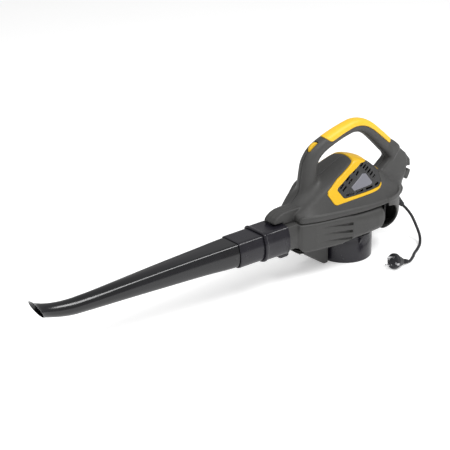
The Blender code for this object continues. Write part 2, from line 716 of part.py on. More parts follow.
def intake():
    outer, inner = RING_RADIUS, RING_RADIUS - RING_WALL
    profile = (
        (outer, RING_TOP), (outer, 0), (inner, 0), (inner, 27), (inner - 2, GRILLE_Z[0] - GAP),
        (inner, GRILLE_Z[0] - GAP), (inner, RING_TOP),
    )
    ring = turned("ring", profile, 36)
    gusset = prism("gusset", ((outer - 1, 62), (outer + 8, 62), (outer + 8, 58), (outer - 1, 44)), "Y", -1.6, 1.6)
    turn = Matrix.Rotation(math.radians(-100), 4, "Z")
    gusset.data.transform(turn)
    union(ring, gusset)
    finish_part(ring, "intake_ring", "tube_black", RING)

    low, high = GRILLE_Z
    rim = RING_RADIUS - RING_WALL - 0.35
    grille = turned("grille", ((rim, high), (rim, low), (rim - 4, low), (rim - 4, high)), 36)
    for radius in (22.0, 41.0):
        far, near = radius + 1.3, radius - 1.3
        union(grille, turned("hoop", ((far, high - 1), (far, low + 1), (near, low + 1), (near, high - 1)), 16))
    union(grille, cylinder("hub", 7.0, (0, 0, low), (0, 0, high), 16))
    for i in range(3):
        bar = box("bar", (-rim + 2, -1.2, low + 0.6), (rim - 2, 1.2, high - 0.4))
        bar.data.transform(Matrix.Rotation(math.radians(15 + 60 * i), 4, "Z"))
        union(grille, bar)
    finish_part(grille, "intake_grille", "inner_plastic", RING)

    start = RING_RADIUS + 2 * GAP
    catch = prism("catch", ((start, 59.0), (82.0, 59.0), (86.0, 62.0), (86.0, 65.4), (start, 65.4)), "Y", -4.4, 4.4)
    union(catch, box("stem", (70.0, -4.4, 65.0), (78.0, 4.4, 72.0)))
    finish_part(catch, "ring_catch", "tube_black", CATCH)


# ---------------------------------------------------------------- blowing tube


def blowing_tube():
    rear, front = COLLAR_X
    outer = [
        (rear, 34.8), (rear - 4, 34.8), (rear - 5, COLLAR_HALF),
        (front + 9, COLLAR_HALF), (front + 8, 35.2), (front, 35.2),
    ]
    inner = [(rear, COLLAR_HALF - 2.0), (front, COLLAR_HALF - 2.0)]
    collar = loft_shell("collar", [tube_ring(x, h) for x, h in outer], [tube_ring(x, h) for x, h in inner])
    top = TUBE_Z + COLLAR_HALF
    union(collar, box("boss", (-244.0, -14.0, top - 1), (-222.0, 6.0, top + 3.0)))
    cut(collar, box("latch_window", (-232.0, TUBE_Y - 11, 60.0), (-224.6, TUBE_Y + 11, 80.0)))
    finish_part(collar, "tube_collar", "tube_black", BLOWER)

    rear, front = MIDDLE_X
    outer = [(rear, 31.3), (front + 34, MIDDLE_HALF), (front, MIDDLE_HALF)]
    middle = loft_shell(
        "middle", [tube_ring(x, h) for x, h in outer], [tube_ring(x, h - TUBE_WALL) for x, h in outer]
    )
    finish_part(middle, "tube_middle", "tube_black", BLOWER)

    outside = [tube_ring(x, h, rnd, z=z, tilt=tilt) for x, h, rnd, z, tilt in NOZZLE]
    inside = [tube_ring(x, h - TUBE_WALL, rnd, z=z, tilt=tilt) for x, h, rnd, z, tilt in NOZZLE]
    nozzle = loft_shell("nozzle", outside, inside)
    finish_part(nozzle, "tube_nozzle", "tube_black", BLOWER)

    outline = (
        (-229, 62), (-226, 58.5), (-221, 57), (-203, 57), (-199, 60), (-198.5, 71), (-222, 71), (-223, 73.5),
        (-229, 73.5),
    )
    latch = prism("latch", outline, "Y", TUBE_Y - 12.4, TUBE_Y + 12.4)
    pocket_x, pocket_floor = -210.5, 63.0
    cut(latch, cylinder("pocket", 4.2, (pocket_x, TUBE_Y, pocket_floor), (pocket_x, TUBE_Y, 75.0), 16))
    finish_part(latch, "tube_latch", "tube_black", LATCH)
    coil = []
    for i in range(33):
        t = 2 * math.pi * i / 8
        coil.append((pocket_x + 3.0 * math.cos(t), TUBE_Y + 3.0 * math.sin(t), pocket_floor + 0.9 + 12.2 * i / 32))
    finish_part(tube_along("spring", coil, 0.5, 0), "latch_spring", "steel", BLOWER)


# ---------------------------------------------------------------- motor and fan


def motor_fixed():
    bottom, top = STATOR_Z
    core = cylinder("stator", STATOR_RADIUS, (0, 0, bottom), (0, 0, top), 24)
    cut(core, cylinder("bore", ARMATURE_RADIUS + 0.8, (0, 0, bottom - 10), (0, 0, top + 10), 24))
    for side, name in ((-1, "left"), (1, "right")):
        y0, y1 = sorted((27.0 * side, 34.5 * side))
        cut(core, box("window", (-22.0, y0, bottom - 10), (22.0, y1, top + 10)))
        coil = box("coil", (-21.6, y0 + 0.4, bottom - 3), (21.6, y1 - 0.4, top + 3))
        finish_part(coil, f"field_coil_{name}", "copper", BLOWER)
    finish_part(core, "stator_core", "core_steel", BLOWER)

    profile = (
        (50, 137), (50, 133.5), (10, 133.5), (10, 136), (13.3, 136), (13.3, 145.5), (16.5, 145.5), (16.5, 137),
    )
    lower = turned("lower", profile, 24)
    for i in range(4):
        angle = math.radians(45 + 90 * i)
        x, y = 46.5 * math.cos(angle), 46.5 * math.sin(angle)
        union(lower, cylinder("post", 3.0, (x, y, 134.0), (x, y, 203.6), 8))
    finish_part(lower, "motor_bracket_lower", "inner_plastic", BLOWER)

    upper = turned("upper", ((15, 236), (15, 224.5), (11.3, 224.5), (11.3, 234), (6.5, 234), (6.5, 236)), 20)
    for i in range(4):
        angle = 45 + 90 * i
        arm = box("arm", (14.0, -3.0, 230.0), (34.0, 3.0, 234.0))
        leg = box("leg", (30.0, -3.0, 204.0), (34.0, 3.0, 233.0))
        union(arm, leg, box("toe", (30.0, -3.0, 204.0), (49.0, 3.0, 207.5)))
        arm.data.transform(Matrix.Rotation(math.radians(angle), 4, "Z"))
        union(upper, arm)
    finish_part(upper, "motor_bracket_upper", "inner_plastic", BLOWER)

    for name, radius, low, high in (("bearing_lower", 13.0, 136.4, 144.4), ("bearing_upper", 11.0, 225.5, 232.5)):
        bore = SHAFT_RADIUS + GAP
        race = turned(name, ((radius, high), (radius, low), (bore, low), (bore, high)), 24)
        finish_part(race, name, "steel", BLOWER)

    for side, name in ((-1, "front"), (1, "rear")):
        def span(a, b):
            return sorted((side * a, side * b))

        x0, x1 = span(15.5, 42.0)
        holder = box("holder", (x0, -6.0, 208.5), (x1, 6.0, 221.5))
        x0, x1 = span(10.0, 39.5)
        cut(holder, box("channel", (x0, -4.3, 210.2), (x1, 4.3, 219.8)))
        finish_part(holder, f"brush_holder_{name}", "brass", BLOWER)
        x0, x1 = span(12.5, 28.0)
        finish_part(box("brush", (x0, -4.0, 210.5), (x1, 4.0, 219.5)), f"carbon_brush_{name}", "carbon", BLOWER)
        coil = []
        for i in range(25):
            t = 2 * math.pi * i / 7
            coil.append((side * (29.0 + 9.6 * i / 24), 2.9 * math.cos(t), 215 + 2.9 * math.sin(t)))
        finish_part(tube_along("spring", coil, 0.5, 0), f"brush_spring_{name}", "steel", BLOWER)


def motor_turning():
    low, high = SHAFT_Z
    shaft = turned("shaft", ((0, high), (SHAFT_RADIUS, high), (SHAFT_RADIUS, low), (0, low)), 20)
    finish_part(shaft, "motor_shaft", "steel", ROTOR)

    bore = SHAFT_RADIUS + GAP
    slots = 8
    core = cylinder("core", ARMATURE_RADIUS, (0, 0, 161), (0, 0, 199), 30)
    cut(core, cylinder("bore", bore, (0, 0, 150), (0, 0, 210), 20))
    winding = turned("winding", ((20, 205), (20, 199.5), (9, 199.5), (9, 205)), 20)
    union(winding, turned("lower_ring", ((20, 160.5), (20, 157.5), (9, 157.5), (9, 160.5)), 20))
    for i in range(slots):
        turn = Matrix.Rotation(2 * math.pi * (i + 0.5) / slots, 4, "Z")
        groove = box("groove", (12.0, -2.3, 150.0), (26.0, 2.3, 210.0))
        groove.data.transform(turn)
        cut(core, groove)
        bar = box("bar", (12.6, -1.9, 159.0), (19.6, 1.9, 201.0))
        bar.data.transform(turn)
        union(winding, bar)
    finish_part(core, "armature_core", "core_steel", ROTOR)
    finish_part(winding, "armature_winding", "copper", ROTOR)
    copper = turned("commutator", ((12, 222), (12, 209), (14, 208.5), (14, 206.5), (bore, 206.5), (bore, 222)), 24)
    finish_part(copper, "commutator", "copper", ROTOR)

    fan = turned("cooling", ((36, 149.5), (36, 148), (bore, 148), (bore, 156), (10, 156), (10, 149.5)), 24)
    for i in range(8):
        blade = box("blade", (9.0, -0.9, 149.0), (35.0, 0.9, 155.5))
        blade.data.transform(Matrix.Rotation(math.radians(45 * i), 4, "Z"))
        union(fan, blade)
    finish_part(fan, "cooling_fan", "fan_plastic", ROTOR)

    wheel = turned("impeller", ((66, 124), (66, 122), (24, 119), (14, 88), (bore, 88), (bore, 124)), 28)
    spine = []
    for k in range(5):
        radius = 15 + 49 * k / 4
        bend = math.radians(-50 * (k / 4) ** 1.3)
        spine.append(Vector((radius * math.cos(bend), radius * math.sin(bend), 0)))
    outline = []
    for side in (1, -1):
        for k in range(5)[::side]:
            along = (spine[min(k + 1, 4)] - spine[max(k - 1, 0)]).normalized()
            outline.append((spine[k].x - along.y * 0.9 * side, spine[k].y + along.x * 0.9 * side))
    for i in range(8):
        blade = prism("blade", outline, "Z", 84.0, 122.8)
        blade.data.transform(Matrix.Rotation(math.radians(45 * i), 4, "Z"))
        union(wheel, blade)
    finish_part(wheel, "impeller", "fan_plastic", ROTOR)
    nut = cylinder("nut", 8.0, (0, 0, 80.5), (0, 0, 87.5), 6)
    cut(nut, cylinder("thread", bore, (0, 0, 75), (0, 0, 95), 20))
    finish_part(nut, "impeller_nut", "steel", ROTOR)


# ---------------------------------------------------------------- controls and cord


def controls():
    half = DIAL_WIDTH / 2
    teeth = 28
    outline = []
    for i in range(teeth * 2):
        radius = DIAL_RADIUS - (0.0 if i % 2 else 0.9)
        t = math.pi * i / teeth
        outline.append((DIAL_X + radius * math.cos(t), DIAL_Z + radius * math.sin(t)))
    dial = prism("dial", outline, "Y", -half, half)
    cut(dial, box("key", (DIAL_X - 1.8, -10, DIAL_Z - 1.8), (DIAL_X + 1.8, 10, DIAL_Z + 1.8)))
    finish_part(dial, "speed_dial", "accent_yellow", DIAL)

    spindle = box("spindle", (DIAL_X - 1.4, -half, DIAL_Z - 1.4), (DIAL_X + 1.4, 5.1, DIAL_Z + 1.4))
    body = cylinder("pot", 6.5, (DIAL_X, 5.4, DIAL_Z), (DIAL_X, 10.8, DIAL_Z), 16)
    finish_part(body, "dial_potentiometer", "inner_plastic", BLOWER)
    finish_part(spindle, "dial_spindle", "steel", DIAL)

    board = box("board", (-80.0, -8.0, 287.0), (-62.0, 8.0, 288.6))
    finish_part(board, "speed_board", "board_green", BLOWER)
    capacitor = box("capacitor", (128.0, -8.0, 160.0), (146.0, 8.0, 190.0))
    finish_part(capacitor, "capacitor", "inner_plastic", BLOWER)


def cord():
    long = (GLAND_TIP - GLAND_ROOT).length
    bore = CORD_RADIUS + GAP
    outer = (
        (5.8, -7.0), (5.8, 7.3), (8.6, 7.3), (8.6, 11.0), (7.2, 12.5), (5.4, long), (bore, long), (bore, -7.0),
    )
    gland = turned("gland", outer[::-1], 16, GLAND_ROOT, GLAND_AXIS)
    finish_part(gland, "cord_gland", "cord_rubber", BLOWER)

    route = [GLAND_TIP + GLAND_AXIS * step for step in (-22, -9, 0, 6)]
    route += [Vector(point) for point in CORD_ROUTE]
    tail = PLUG_FACE - PLUG_AXIS * (PLUG_LENGTH + GAP)
    route += [tail - PLUG_AXIS * 14 + Vector((0, 3.0, 1.8)), tail - PLUG_AXIS * 5, tail]
    points = smooth_route(route, 3)
    finish_part(tube_along("cord", points, CORD_RADIUS, 2), "power_cord", "cord_rubber", BLOWER)

    body = (
        (0.0, 0.0), (16.5, 0.0), (18.5, -1.5), (18.5, -9.0), (16.0, -11.5), (12.0, -24.0), (7.0, -31.0),
        (5.4, -34.0), (4.6, -PLUG_LENGTH), (0.0, -PLUG_LENGTH),
    )
    plug = turned("plug", body, 24, PLUG_FACE, PLUG_AXIS)
    finish_part(plug, "plug_body", "cord_rubber", BLOWER)
    across = PLUG_AXIS.cross(Vector((0.35, 1.0, 0.0))).normalized()
    for number, side in enumerate((-1, 1), 1):
        foot = PLUG_FACE + across * (9.5 * side) + PLUG_AXIS * GAP
        finish_part(cylinder("pin", 2.4, foot, foot + PLUG_AXIS * 19, 12), f"plug_pin_{number}", "steel", BLOWER)

    clamp = box("clamp", (150.0, -9.0, 132.0), (162.0, 9.0, 137.0))
    finish_part(clamp, "cord_clamp", "inner_plastic", BLOWER)


def smooth_route(points, steps):
    """Points on a Catmull-Rom curve through the route."""
    full = [points[0] * 2 - points[1], *points, points[-1] * 2 - points[-2]]
    out = []
    for i in range(1, len(full) - 2):
        a, b, c, d = full[i - 1 : i + 3]
        for k in range(steps):
            t = k / steps
            square = 2 * a - 5 * b + 4 * c - d
            cube = 3 * (b - c) + d - a
            out.append(0.5 * (2 * b + (c - a) * t + square * t**2 + cube * t**3))
    out.append(points[-1])
    return out


housing()
screws()
covers()
grip()
volute()
intake()
blowing_tube()
motor_fixed()
motor_turning()
controls()
cord()
for leftover in list(CUTTERS.objects):
    leftover.hide_render = True
    leftover.display_type = "WIRE"
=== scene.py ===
"""Looks of the electric leaf blower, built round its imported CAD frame.

Lengths in this script are millimetres in a design frame: the fan axis is at X = 0, Y = 0, the floor is Z = 0,
-X points along the blowing tube and -Y to the near side. place() turns them into the frame's metres.
Moulded shells are made from distance fields: numpy arrays of signed distance, joined, cut and then turned
into smooth meshes by surface(). Tubes, the ring, the plug and the cord are lofted or turned directly.
"""

import json
import math

import bmesh
import bpy
import numpy as np
from mathutils import Matrix, Vector


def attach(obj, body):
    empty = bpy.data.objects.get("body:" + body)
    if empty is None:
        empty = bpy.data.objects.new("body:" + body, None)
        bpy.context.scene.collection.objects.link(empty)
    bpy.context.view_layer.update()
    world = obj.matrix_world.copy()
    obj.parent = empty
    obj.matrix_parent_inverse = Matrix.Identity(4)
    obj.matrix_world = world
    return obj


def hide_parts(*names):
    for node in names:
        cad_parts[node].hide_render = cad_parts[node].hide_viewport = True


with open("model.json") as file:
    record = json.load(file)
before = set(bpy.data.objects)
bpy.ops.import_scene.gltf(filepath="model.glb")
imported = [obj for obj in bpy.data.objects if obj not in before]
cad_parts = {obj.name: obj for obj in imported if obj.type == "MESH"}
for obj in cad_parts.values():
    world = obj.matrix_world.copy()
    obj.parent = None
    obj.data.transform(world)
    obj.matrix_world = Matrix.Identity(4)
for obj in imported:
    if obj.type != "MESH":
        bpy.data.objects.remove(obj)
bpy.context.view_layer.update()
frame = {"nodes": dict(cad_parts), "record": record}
MM = 0.001
ORIGIN_X = -339.0  # the frame's origin, in the design frame
BODY = "blower"


def place(point):
    x, y, z = point
    return Vector(((x - ORIGIN_X) * MM, y * MM, z * MM))


# ---------------------------------------------------------------- camera, light and floor


def look_from(position, lens):
    data = bpy.data.cameras.new("camera")
    data.lens = lens
    data.sensor_width = 36.0
    data.clip_end = 60.0
    camera = bpy.data.objects.new("camera", data)
    bpy.context.scene.collection.objects.link(camera)
    camera.location = position
    bpy.context.scene.camera = camera
    return camera


VIEW_AZIMUTH, VIEW_ELEVATION = math.radians(-39.5), math.radians(24.0)
VIEW_DISTANCE = 4.0
VIEW_LENS = 134.4
AIM_RIGHT, AIM_DOWN = 0.2814, 0.0624  # from where the camera aims to the ring's middle, in metres


def make_camera():
    level = math.cos(VIEW_ELEVATION)
    back = Vector((math.sin(VIEW_AZIMUTH) * level, -math.cos(VIEW_AZIMUTH) * level, math.sin(VIEW_ELEVATION)))
    right = Vector((math.cos(VIEW_AZIMUTH), math.sin(VIEW_AZIMUTH), 0))
    up = back.cross(right)
    ring_middle = place((0, 0, 0))
    position = ring_middle + back * VIEW_DISTANCE - right * AIM_RIGHT + up * AIM_DOWN
    camera = look_from(position, VIEW_LENS)
    camera.rotation_mode = "QUATERNION"
    camera.rotation_quaternion = Matrix((right, up, back)).transposed().to_quaternion()


make_camera()


# ---------------------------------------------------------------- materials


class Nodes:
    """A short way to wire a Principled material."""

    def __init__(self, name):
        self.material = bpy.data.materials.new(name)
        self.material.use_nodes = True
        self.tree = self.material.node_tree
        self.shader = self.tree.nodes["Principled BSDF"]
        self.position = self.tree.nodes.new("ShaderNodeTexCoord").outputs["Object"]

    def add(self, kind, inputs=None, **settings):
        node = self.tree.nodes.new(kind)
        for key, value in settings.items():
            setattr(node, key, value)
        for key, value in (inputs or {}).items():
            if isinstance(value, bpy.types.NodeSocket):
                self.tree.links.new(value, node.inputs[key])
            else:
                node.inputs[key].default_value = value
        return node

    def noise(self, scale, detail=3.0, stretch=None):
        vector = self.position
        if stretch:
            vector = self.add("ShaderNodeMapping", {"Vector": vector, "Scale": stretch}).outputs["Vector"]
        made = self.add("ShaderNodeTexNoise", {"Vector": vector, "Scale": scale, "Detail": detail})
        return made.outputs["Fac"]

    def range(self, value, low, high, source=(0.3, 0.7)):
        made = self.add(
            "ShaderNodeMapRange",
            {"Value": value, "From Min": source[0], "From Max": source[1], "To Min": low, "To Max": high},
        )
        return made.outputs["Result"]

    def blend(self, factor, dark, light):
        made = self.add("ShaderNodeMix", data_type="RGBA")
        self.tree.links.new(factor, made.inputs[0])
        made.inputs[6].default_value = (*dark, 1)
        made.inputs[7].default_value = (*light, 1)
        return made.outputs[2]

    def bump(self, height, strength, distance, normal=None):
        inputs = {"Height": height, "Strength": strength, "Distance": distance}
        if normal is not None:
            inputs["Normal"] = normal
        return self.add("ShaderNodeBump", inputs).outputs["Normal"]

    def wire(self, socket, name):
        self.tree.links.new(socket, self.shader.inputs[name])


def plastic(name, dark, light, roughness, grain, grain_mm, gloss=0.5, wear=0.0):
    """Moulded plastic: colour drifts a little, the surface has a fine grain, and worn edges are lighter."""
    n = Nodes(name)
    drift = n.range(n.noise(9.0, 4.0), 0.0, 1.0)
    speck = n.range(n.noise(1.0 / (grain_mm * MM), 2.0), 0.0, 1.0)
    mixed = n.add("ShaderNodeMath", {0: drift, 1: 0.72}, operation="MULTIPLY").outputs[0]
    mixed = n.add("ShaderNodeMath", {0: speck, 1: 0.28, 2: mixed}, operation="MULTIPLY_ADD").outputs[0]
    colour = n.blend(mixed, dark, light)
    if wear:
        edge = n.add("ShaderNodeNewGeometry").outputs["Pointiness"]
        edge = n.range(edge, 0.0, wear, (0.52, 0.6))
        patches = n.range(n.noise(60.0), 0.2, 1.0)
        edge = n.add("ShaderNodeMath", {0: edge, 1: patches}, operation="MULTIPLY").outputs[0]
        tint = n.add("ShaderNodeMix", data_type="RGBA")
        n.tree.links.new(edge, tint.inputs[0])
        n.tree.links.new(colour, tint.inputs[6])
        tint.inputs[7].default_value = (*[min(1.0, c * 2.2 + 0.02) for c in light], 1)
        colour = tint.outputs[2]
    n.wire(colour, "Base Color")
    n.wire(n.range(n.noise(35.0, 3.0), roughness - 0.04, roughness + 0.05), "Roughness")
    n.shader.inputs["Specular IOR Level"].default_value = gloss
    soft = n.bump(n.noise(9.0, 1.0), 0.03, 0.0015)
    n.wire(n.bump(speck, grain, 0.0002, soft), "Normal")
    return n.material


def metal(name, colour, roughness):
    """Machined metal: fine lines along one direction and a little tarnish."""
    n = Nodes(name)
    lines = n.noise(420.0, 3.0, (1, 1, 14))
    tone = n.range(n.noise(70.0, 3.0), 0.0, 1.0)
    n.wire(n.blend(tone, tuple(c * 0.78 for c in colour), colour), "Base Color")
    n.shader.inputs["Metallic"].default_value = 1.0
    n.wire(n.range(lines, roughness - 0.07, roughness + 0.1), "Roughness")
    n.wire(n.bump(lines, 0.15, 0.0002), "Normal")
    return n.material


def laminations(name, colour):
    """Stacked steel sheets, half a millimetre each, seen as fine level lines."""
    n = Nodes(name)
    inputs = {"Vector": n.position, "Scale": 300.0, "Distortion": 0.3}
    wave = n.add("ShaderNodeTexWave", inputs, bands_direction="Z")
    n.wire(n.blend(wave.outputs["Fac"], tuple(c * 0.5 for c in colour), colour), "Base Color")
    n.shader.inputs["Metallic"].default_value = 1.0
    n.wire(n.range(n.noise(200.0), 0.38, 0.55), "Roughness")
    n.wire(n.bump(wave.outputs["Fac"], 0.3, 0.0002), "Normal")
    return n.material


def windings(name):
    """Enamelled copper wire: close round strands."""
    n = Nodes(name)
    inputs = {"Vector": n.position, "Scale": 170.0, "Distortion": 0.6}
    wave = n.add("ShaderNodeTexWave", inputs, bands_direction="X")
    n.wire(n.blend(wave.outputs["Fac"], (0.3, 0.08, 0.02), (0.75, 0.33, 0.14)), "Base Color")
    n.shader.inputs["Metallic"].default_value = 0.9
    n.wire(n.range(n.noise(90.0), 0.25, 0.4), "Roughness")
    n.wire(n.bump(wave.outputs["Fac"], 0.5, 0.0004), "Normal")
    return n.material


HOUSING = plastic("housing_grey", (0.046, 0.0455, 0.0445), (0.056, 0.0555, 0.054), 0.5, 0.4, 0.45, 0.35, 0.3)
CASE = plastic("case_grey", (0.044, 0.0435, 0.0425), (0.053, 0.0525, 0.051), 0.48, 0.4, 0.45, 0.35, 0.3)
YELLOW = plastic("accent_yellow", (0.7, 0.41, 0.012), (0.76, 0.46, 0.018), 0.36, 0.25, 0.5, 0.4)
GRIP = plastic("grip_yellow", (0.8, 0.47, 0.02), (0.86, 0.53, 0.035), 0.42, 0.4, 0.6, 0.4)
TUBE = plastic("tube_black", (0.011, 0.01, 0.014), (0.015, 0.014, 0.019), 0.24, 0.06, 0.6, 0.38)
NOZZLE_BLACK = plastic("nozzle_black", (0.006, 0.006, 0.007), (0.009, 0.009, 0.011), 0.19, 0.05, 0.8, 0.5)
PANEL = plastic("panel_grey", (0.033, 0.033, 0.034), (0.042, 0.042, 0.043), 0.52, 0.4, 0.4, 0.3, 0.25)
BADGE_GREY = plastic("badge_grey", (0.17, 0.17, 0.195), (0.2, 0.2, 0.225), 0.33, 0.1, 0.5, 0.4)
RUBBER = plastic("cord_rubber", (0.012, 0.012, 0.014), (0.018, 0.018, 0.021), 0.5, 0.35, 0.5, 0.35, 0.15)
# near-black plastic of the real inner parts; also the colour of the painted-shade skin behind the fan case
INNER_BLACK_AND_SHADE = plastic("inner_plastic", (0.008, 0.008, 0.009), (0.012, 0.012, 0.013), 0.6, 0.3, 0.6, 0.3)
FAN = plastic("fan_plastic", (0.03, 0.03, 0.034), (0.045, 0.045, 0.05), 0.45, 0.3, 0.6, 0.4)
BOARD = plastic("board_green", (0.015, 0.1, 0.04), (0.025, 0.14, 0.06), 0.4, 0.1, 0.8, 0.5)
CARBON = plastic("carbon", (0.02, 0.02, 0.02), (0.04, 0.04, 0.042), 0.6, 0.4, 0.3, 0.3)
STEEL = metal("steel", (0.62, 0.62, 0.63), 0.28)
BRASS = metal("brass", (0.78, 0.6, 0.3), 0.3)
CORE = laminations("core_steel", (0.42, 0.42, 0.44))
COPPER = windings("copper")
SLOT_MATERIAL = {
    "housing_grey": CASE, "accent_yellow": YELLOW, "tube_black": TUBE, "panel_grey": PANEL,
    "badge_grey": BADGE_GREY, "cord_rubber": RUBBER, "inner_plastic": INNER_BLACK_AND_SHADE, "steel": STEEL,
    "core_steel": CORE, "copper": COPPER, "brass": BRASS, "carbon": CARBON, "fan_plastic": FAN,
    "board_green": BOARD,
}


# ---------------------------------------------------------------- meshes


def keep(mesh, name, material, body, stands_for=()):
    """File a finished mesh (already in metres) as a piece."""
    made = bpy.data.objects.new(name, mesh)
    bpy.context.scene.collection.objects.link(made)
    mesh.materials.clear()
    mesh.materials.append(material)
    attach(made, body)
    if stands_for:
        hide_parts(*stands_for)
    return made


def keep_surface(name, g, field, material, body, stands_for=()):
    """File the skin of a distance field as a piece of the same name."""
    return keep(surface(name, g, field), name, material, body, stands_for)


def loft(name, rings, sharp):
    """A closed skin through equal rings, the last one joined to the first."""
    around = len(rings[0])
    points = np.array([point for ring in rings for point in ring], float)
    points[:, 0] -= ORIGIN_X
    faces = []
    for r in range(len(rings)):
        a, b = r * around, ((r + 1) % len(rings)) * around
        for i in range(around):
            j = (i + 1) % around
            faces.append((a + i, a + j, b + j, b + i))
    mesh = bpy.data.meshes.new(name)
    mesh.from_pydata((points * MM).tolist(), [], faces)
    mesh.validate()
    outward(mesh, sharp)
    return mesh


def outward(mesh, sharp):
    bm = bmesh.new()
    bm.from_mesh(mesh)
    bmesh.ops.recalc_face_normals(bm, faces=bm.faces)
    bm.to_mesh(mesh)
    bm.free()
    mesh.shade_smooth()
    mesh.set_sharp_from_angle(angle=math.radians(sharp))


def turned(name, profile, steps=96, centre=(0, 0, 0), axis=(0, 0, 1), shape=None, sharp=35.0):
    """A solid turned from a closed (radius, height) profile; shape() may vary each radius."""
    turn = Vector((0, 0, 1)).rotation_difference(Vector(axis)).to_matrix()
    rings = []
    for i in range(steps):
        t = 2 * math.pi * i / steps
        ring = []
        for r, h in profile:
            radius = shape(t, r, h) if shape else r
            ring.append(Vector(centre) + turn @ Vector((radius * math.cos(t), radius * math.sin(t), h)))
        rings.append(ring)
    mesh = loft(name, rings, sharp)
    bm = bmesh.new()
    bm.from_mesh(mesh)
    bmesh.ops.remove_doubles(bm, verts=bm.verts, dist=0.000002)
    bmesh.ops.dissolve_degenerate(bm, dist=0.000001, edges=bm.edges)
    bmesh.ops.recalc_face_normals(bm, faces=bm.faces)
    bm.to_mesh(mesh)
    bm.free()
    return mesh


# ---------------------------------------------------------------- distance fields


class Grid:
    """Sample points of a box, as three arrays that broadcast against each other."""

    def __init__(self, low, high, step):
        self.low, self.step = np.array(low, float), step
        self.count = [int((b - a) / step) + 2 for a, b in zip(low, high)]
        axes = [a + step * np.arange(n) for a, n in zip(low, self.count)]
        self.x = axes[0].astype(np.float32)[:, None, None]
        self.y = axes[1].astype(np.float32)[None, :, None]
        self.z = axes[2].astype(np.float32)[None, None, :]


def smooth_min(a, b, k):
    h = np.clip(0.5 + 0.5 * (b - a) / k, 0, 1)
    return b + (a - b) * h - k * h * (1 - h)


def smooth_max(a, b, k):
    return -smooth_min(-a, -b, k)


def polygon(u, v, points):
    """Signed distance from (u, v) to a closed outline, negative inside."""
    best = None
    inside = None
    for (ax, ay), (bx, by) in zip(points, points[1:] + points[:1]):
        ex, ey = bx - ax, by - ay
        wx, wy = u - ax, v - ay
        t = np.clip((wx * ex + wy * ey) / (ex * ex + ey * ey + 1e-9), 0, 1)
        square = (wx - ex * t) ** 2 + (wy - ey * t) ** 2
        best = square if best is None else np.minimum(best, square)
        level = v + 1e-4
        rise = ey if abs(ey) > 1e-9 else 1e-9
        crosses = ((ay > level) != (by > level)) & (u < ex * (level - ay) / rise + ax)
        inside = crosses if inside is None else inside ^ crosses
    return np.where(inside, -np.sqrt(best), np.sqrt(best)).astype(np.float32)


def side_view(g, outline):
    """Distance to an X, Z outline, the same for every Y."""
    return polygon(g.x[:, 0, :], g.z[:, 0, :], outline)[:, None, :]


def plan_view(g, outline):
    """Distance to an X, Y outline, the same for every Z."""
    return polygon(g.x[:, :, 0], g.y[:, :, 0], outline)[:, :, None]


def slab(flat, across, radius):
    """Intersection of two distances with the meeting edge rounded to a radius."""
    a, b = flat + radius, across + radius
    return np.minimum(np.maximum(a, b), 0) + np.hypot(np.maximum(a, 0), np.maximum(b, 0)) - radius


def through(points, at):
    """Smooth curve values: each column of points against its first column, read at the places asked."""
    table = np.array(points, float)
    xs, out = table[:, 0], []
    for column in table.T[1:]:
        slope = np.gradient(column, xs)
        i = np.clip(np.searchsorted(xs, at) - 1, 0, len(xs) - 2)
        width = xs[i + 1] - xs[i]
        t = np.clip((at - xs[i]) / width, 0, 1)
        value = (
            (2 * t**3 - 3 * t**2 + 1) * column[i]
            + (t**3 - 2 * t**2 + t) * width * slope[i]
            + (3 * t**2 - 2 * t**3) * column[i + 1]
            + (t**3 - t**2) * width * slope[i + 1]
        )
        out.append(value)
    return out


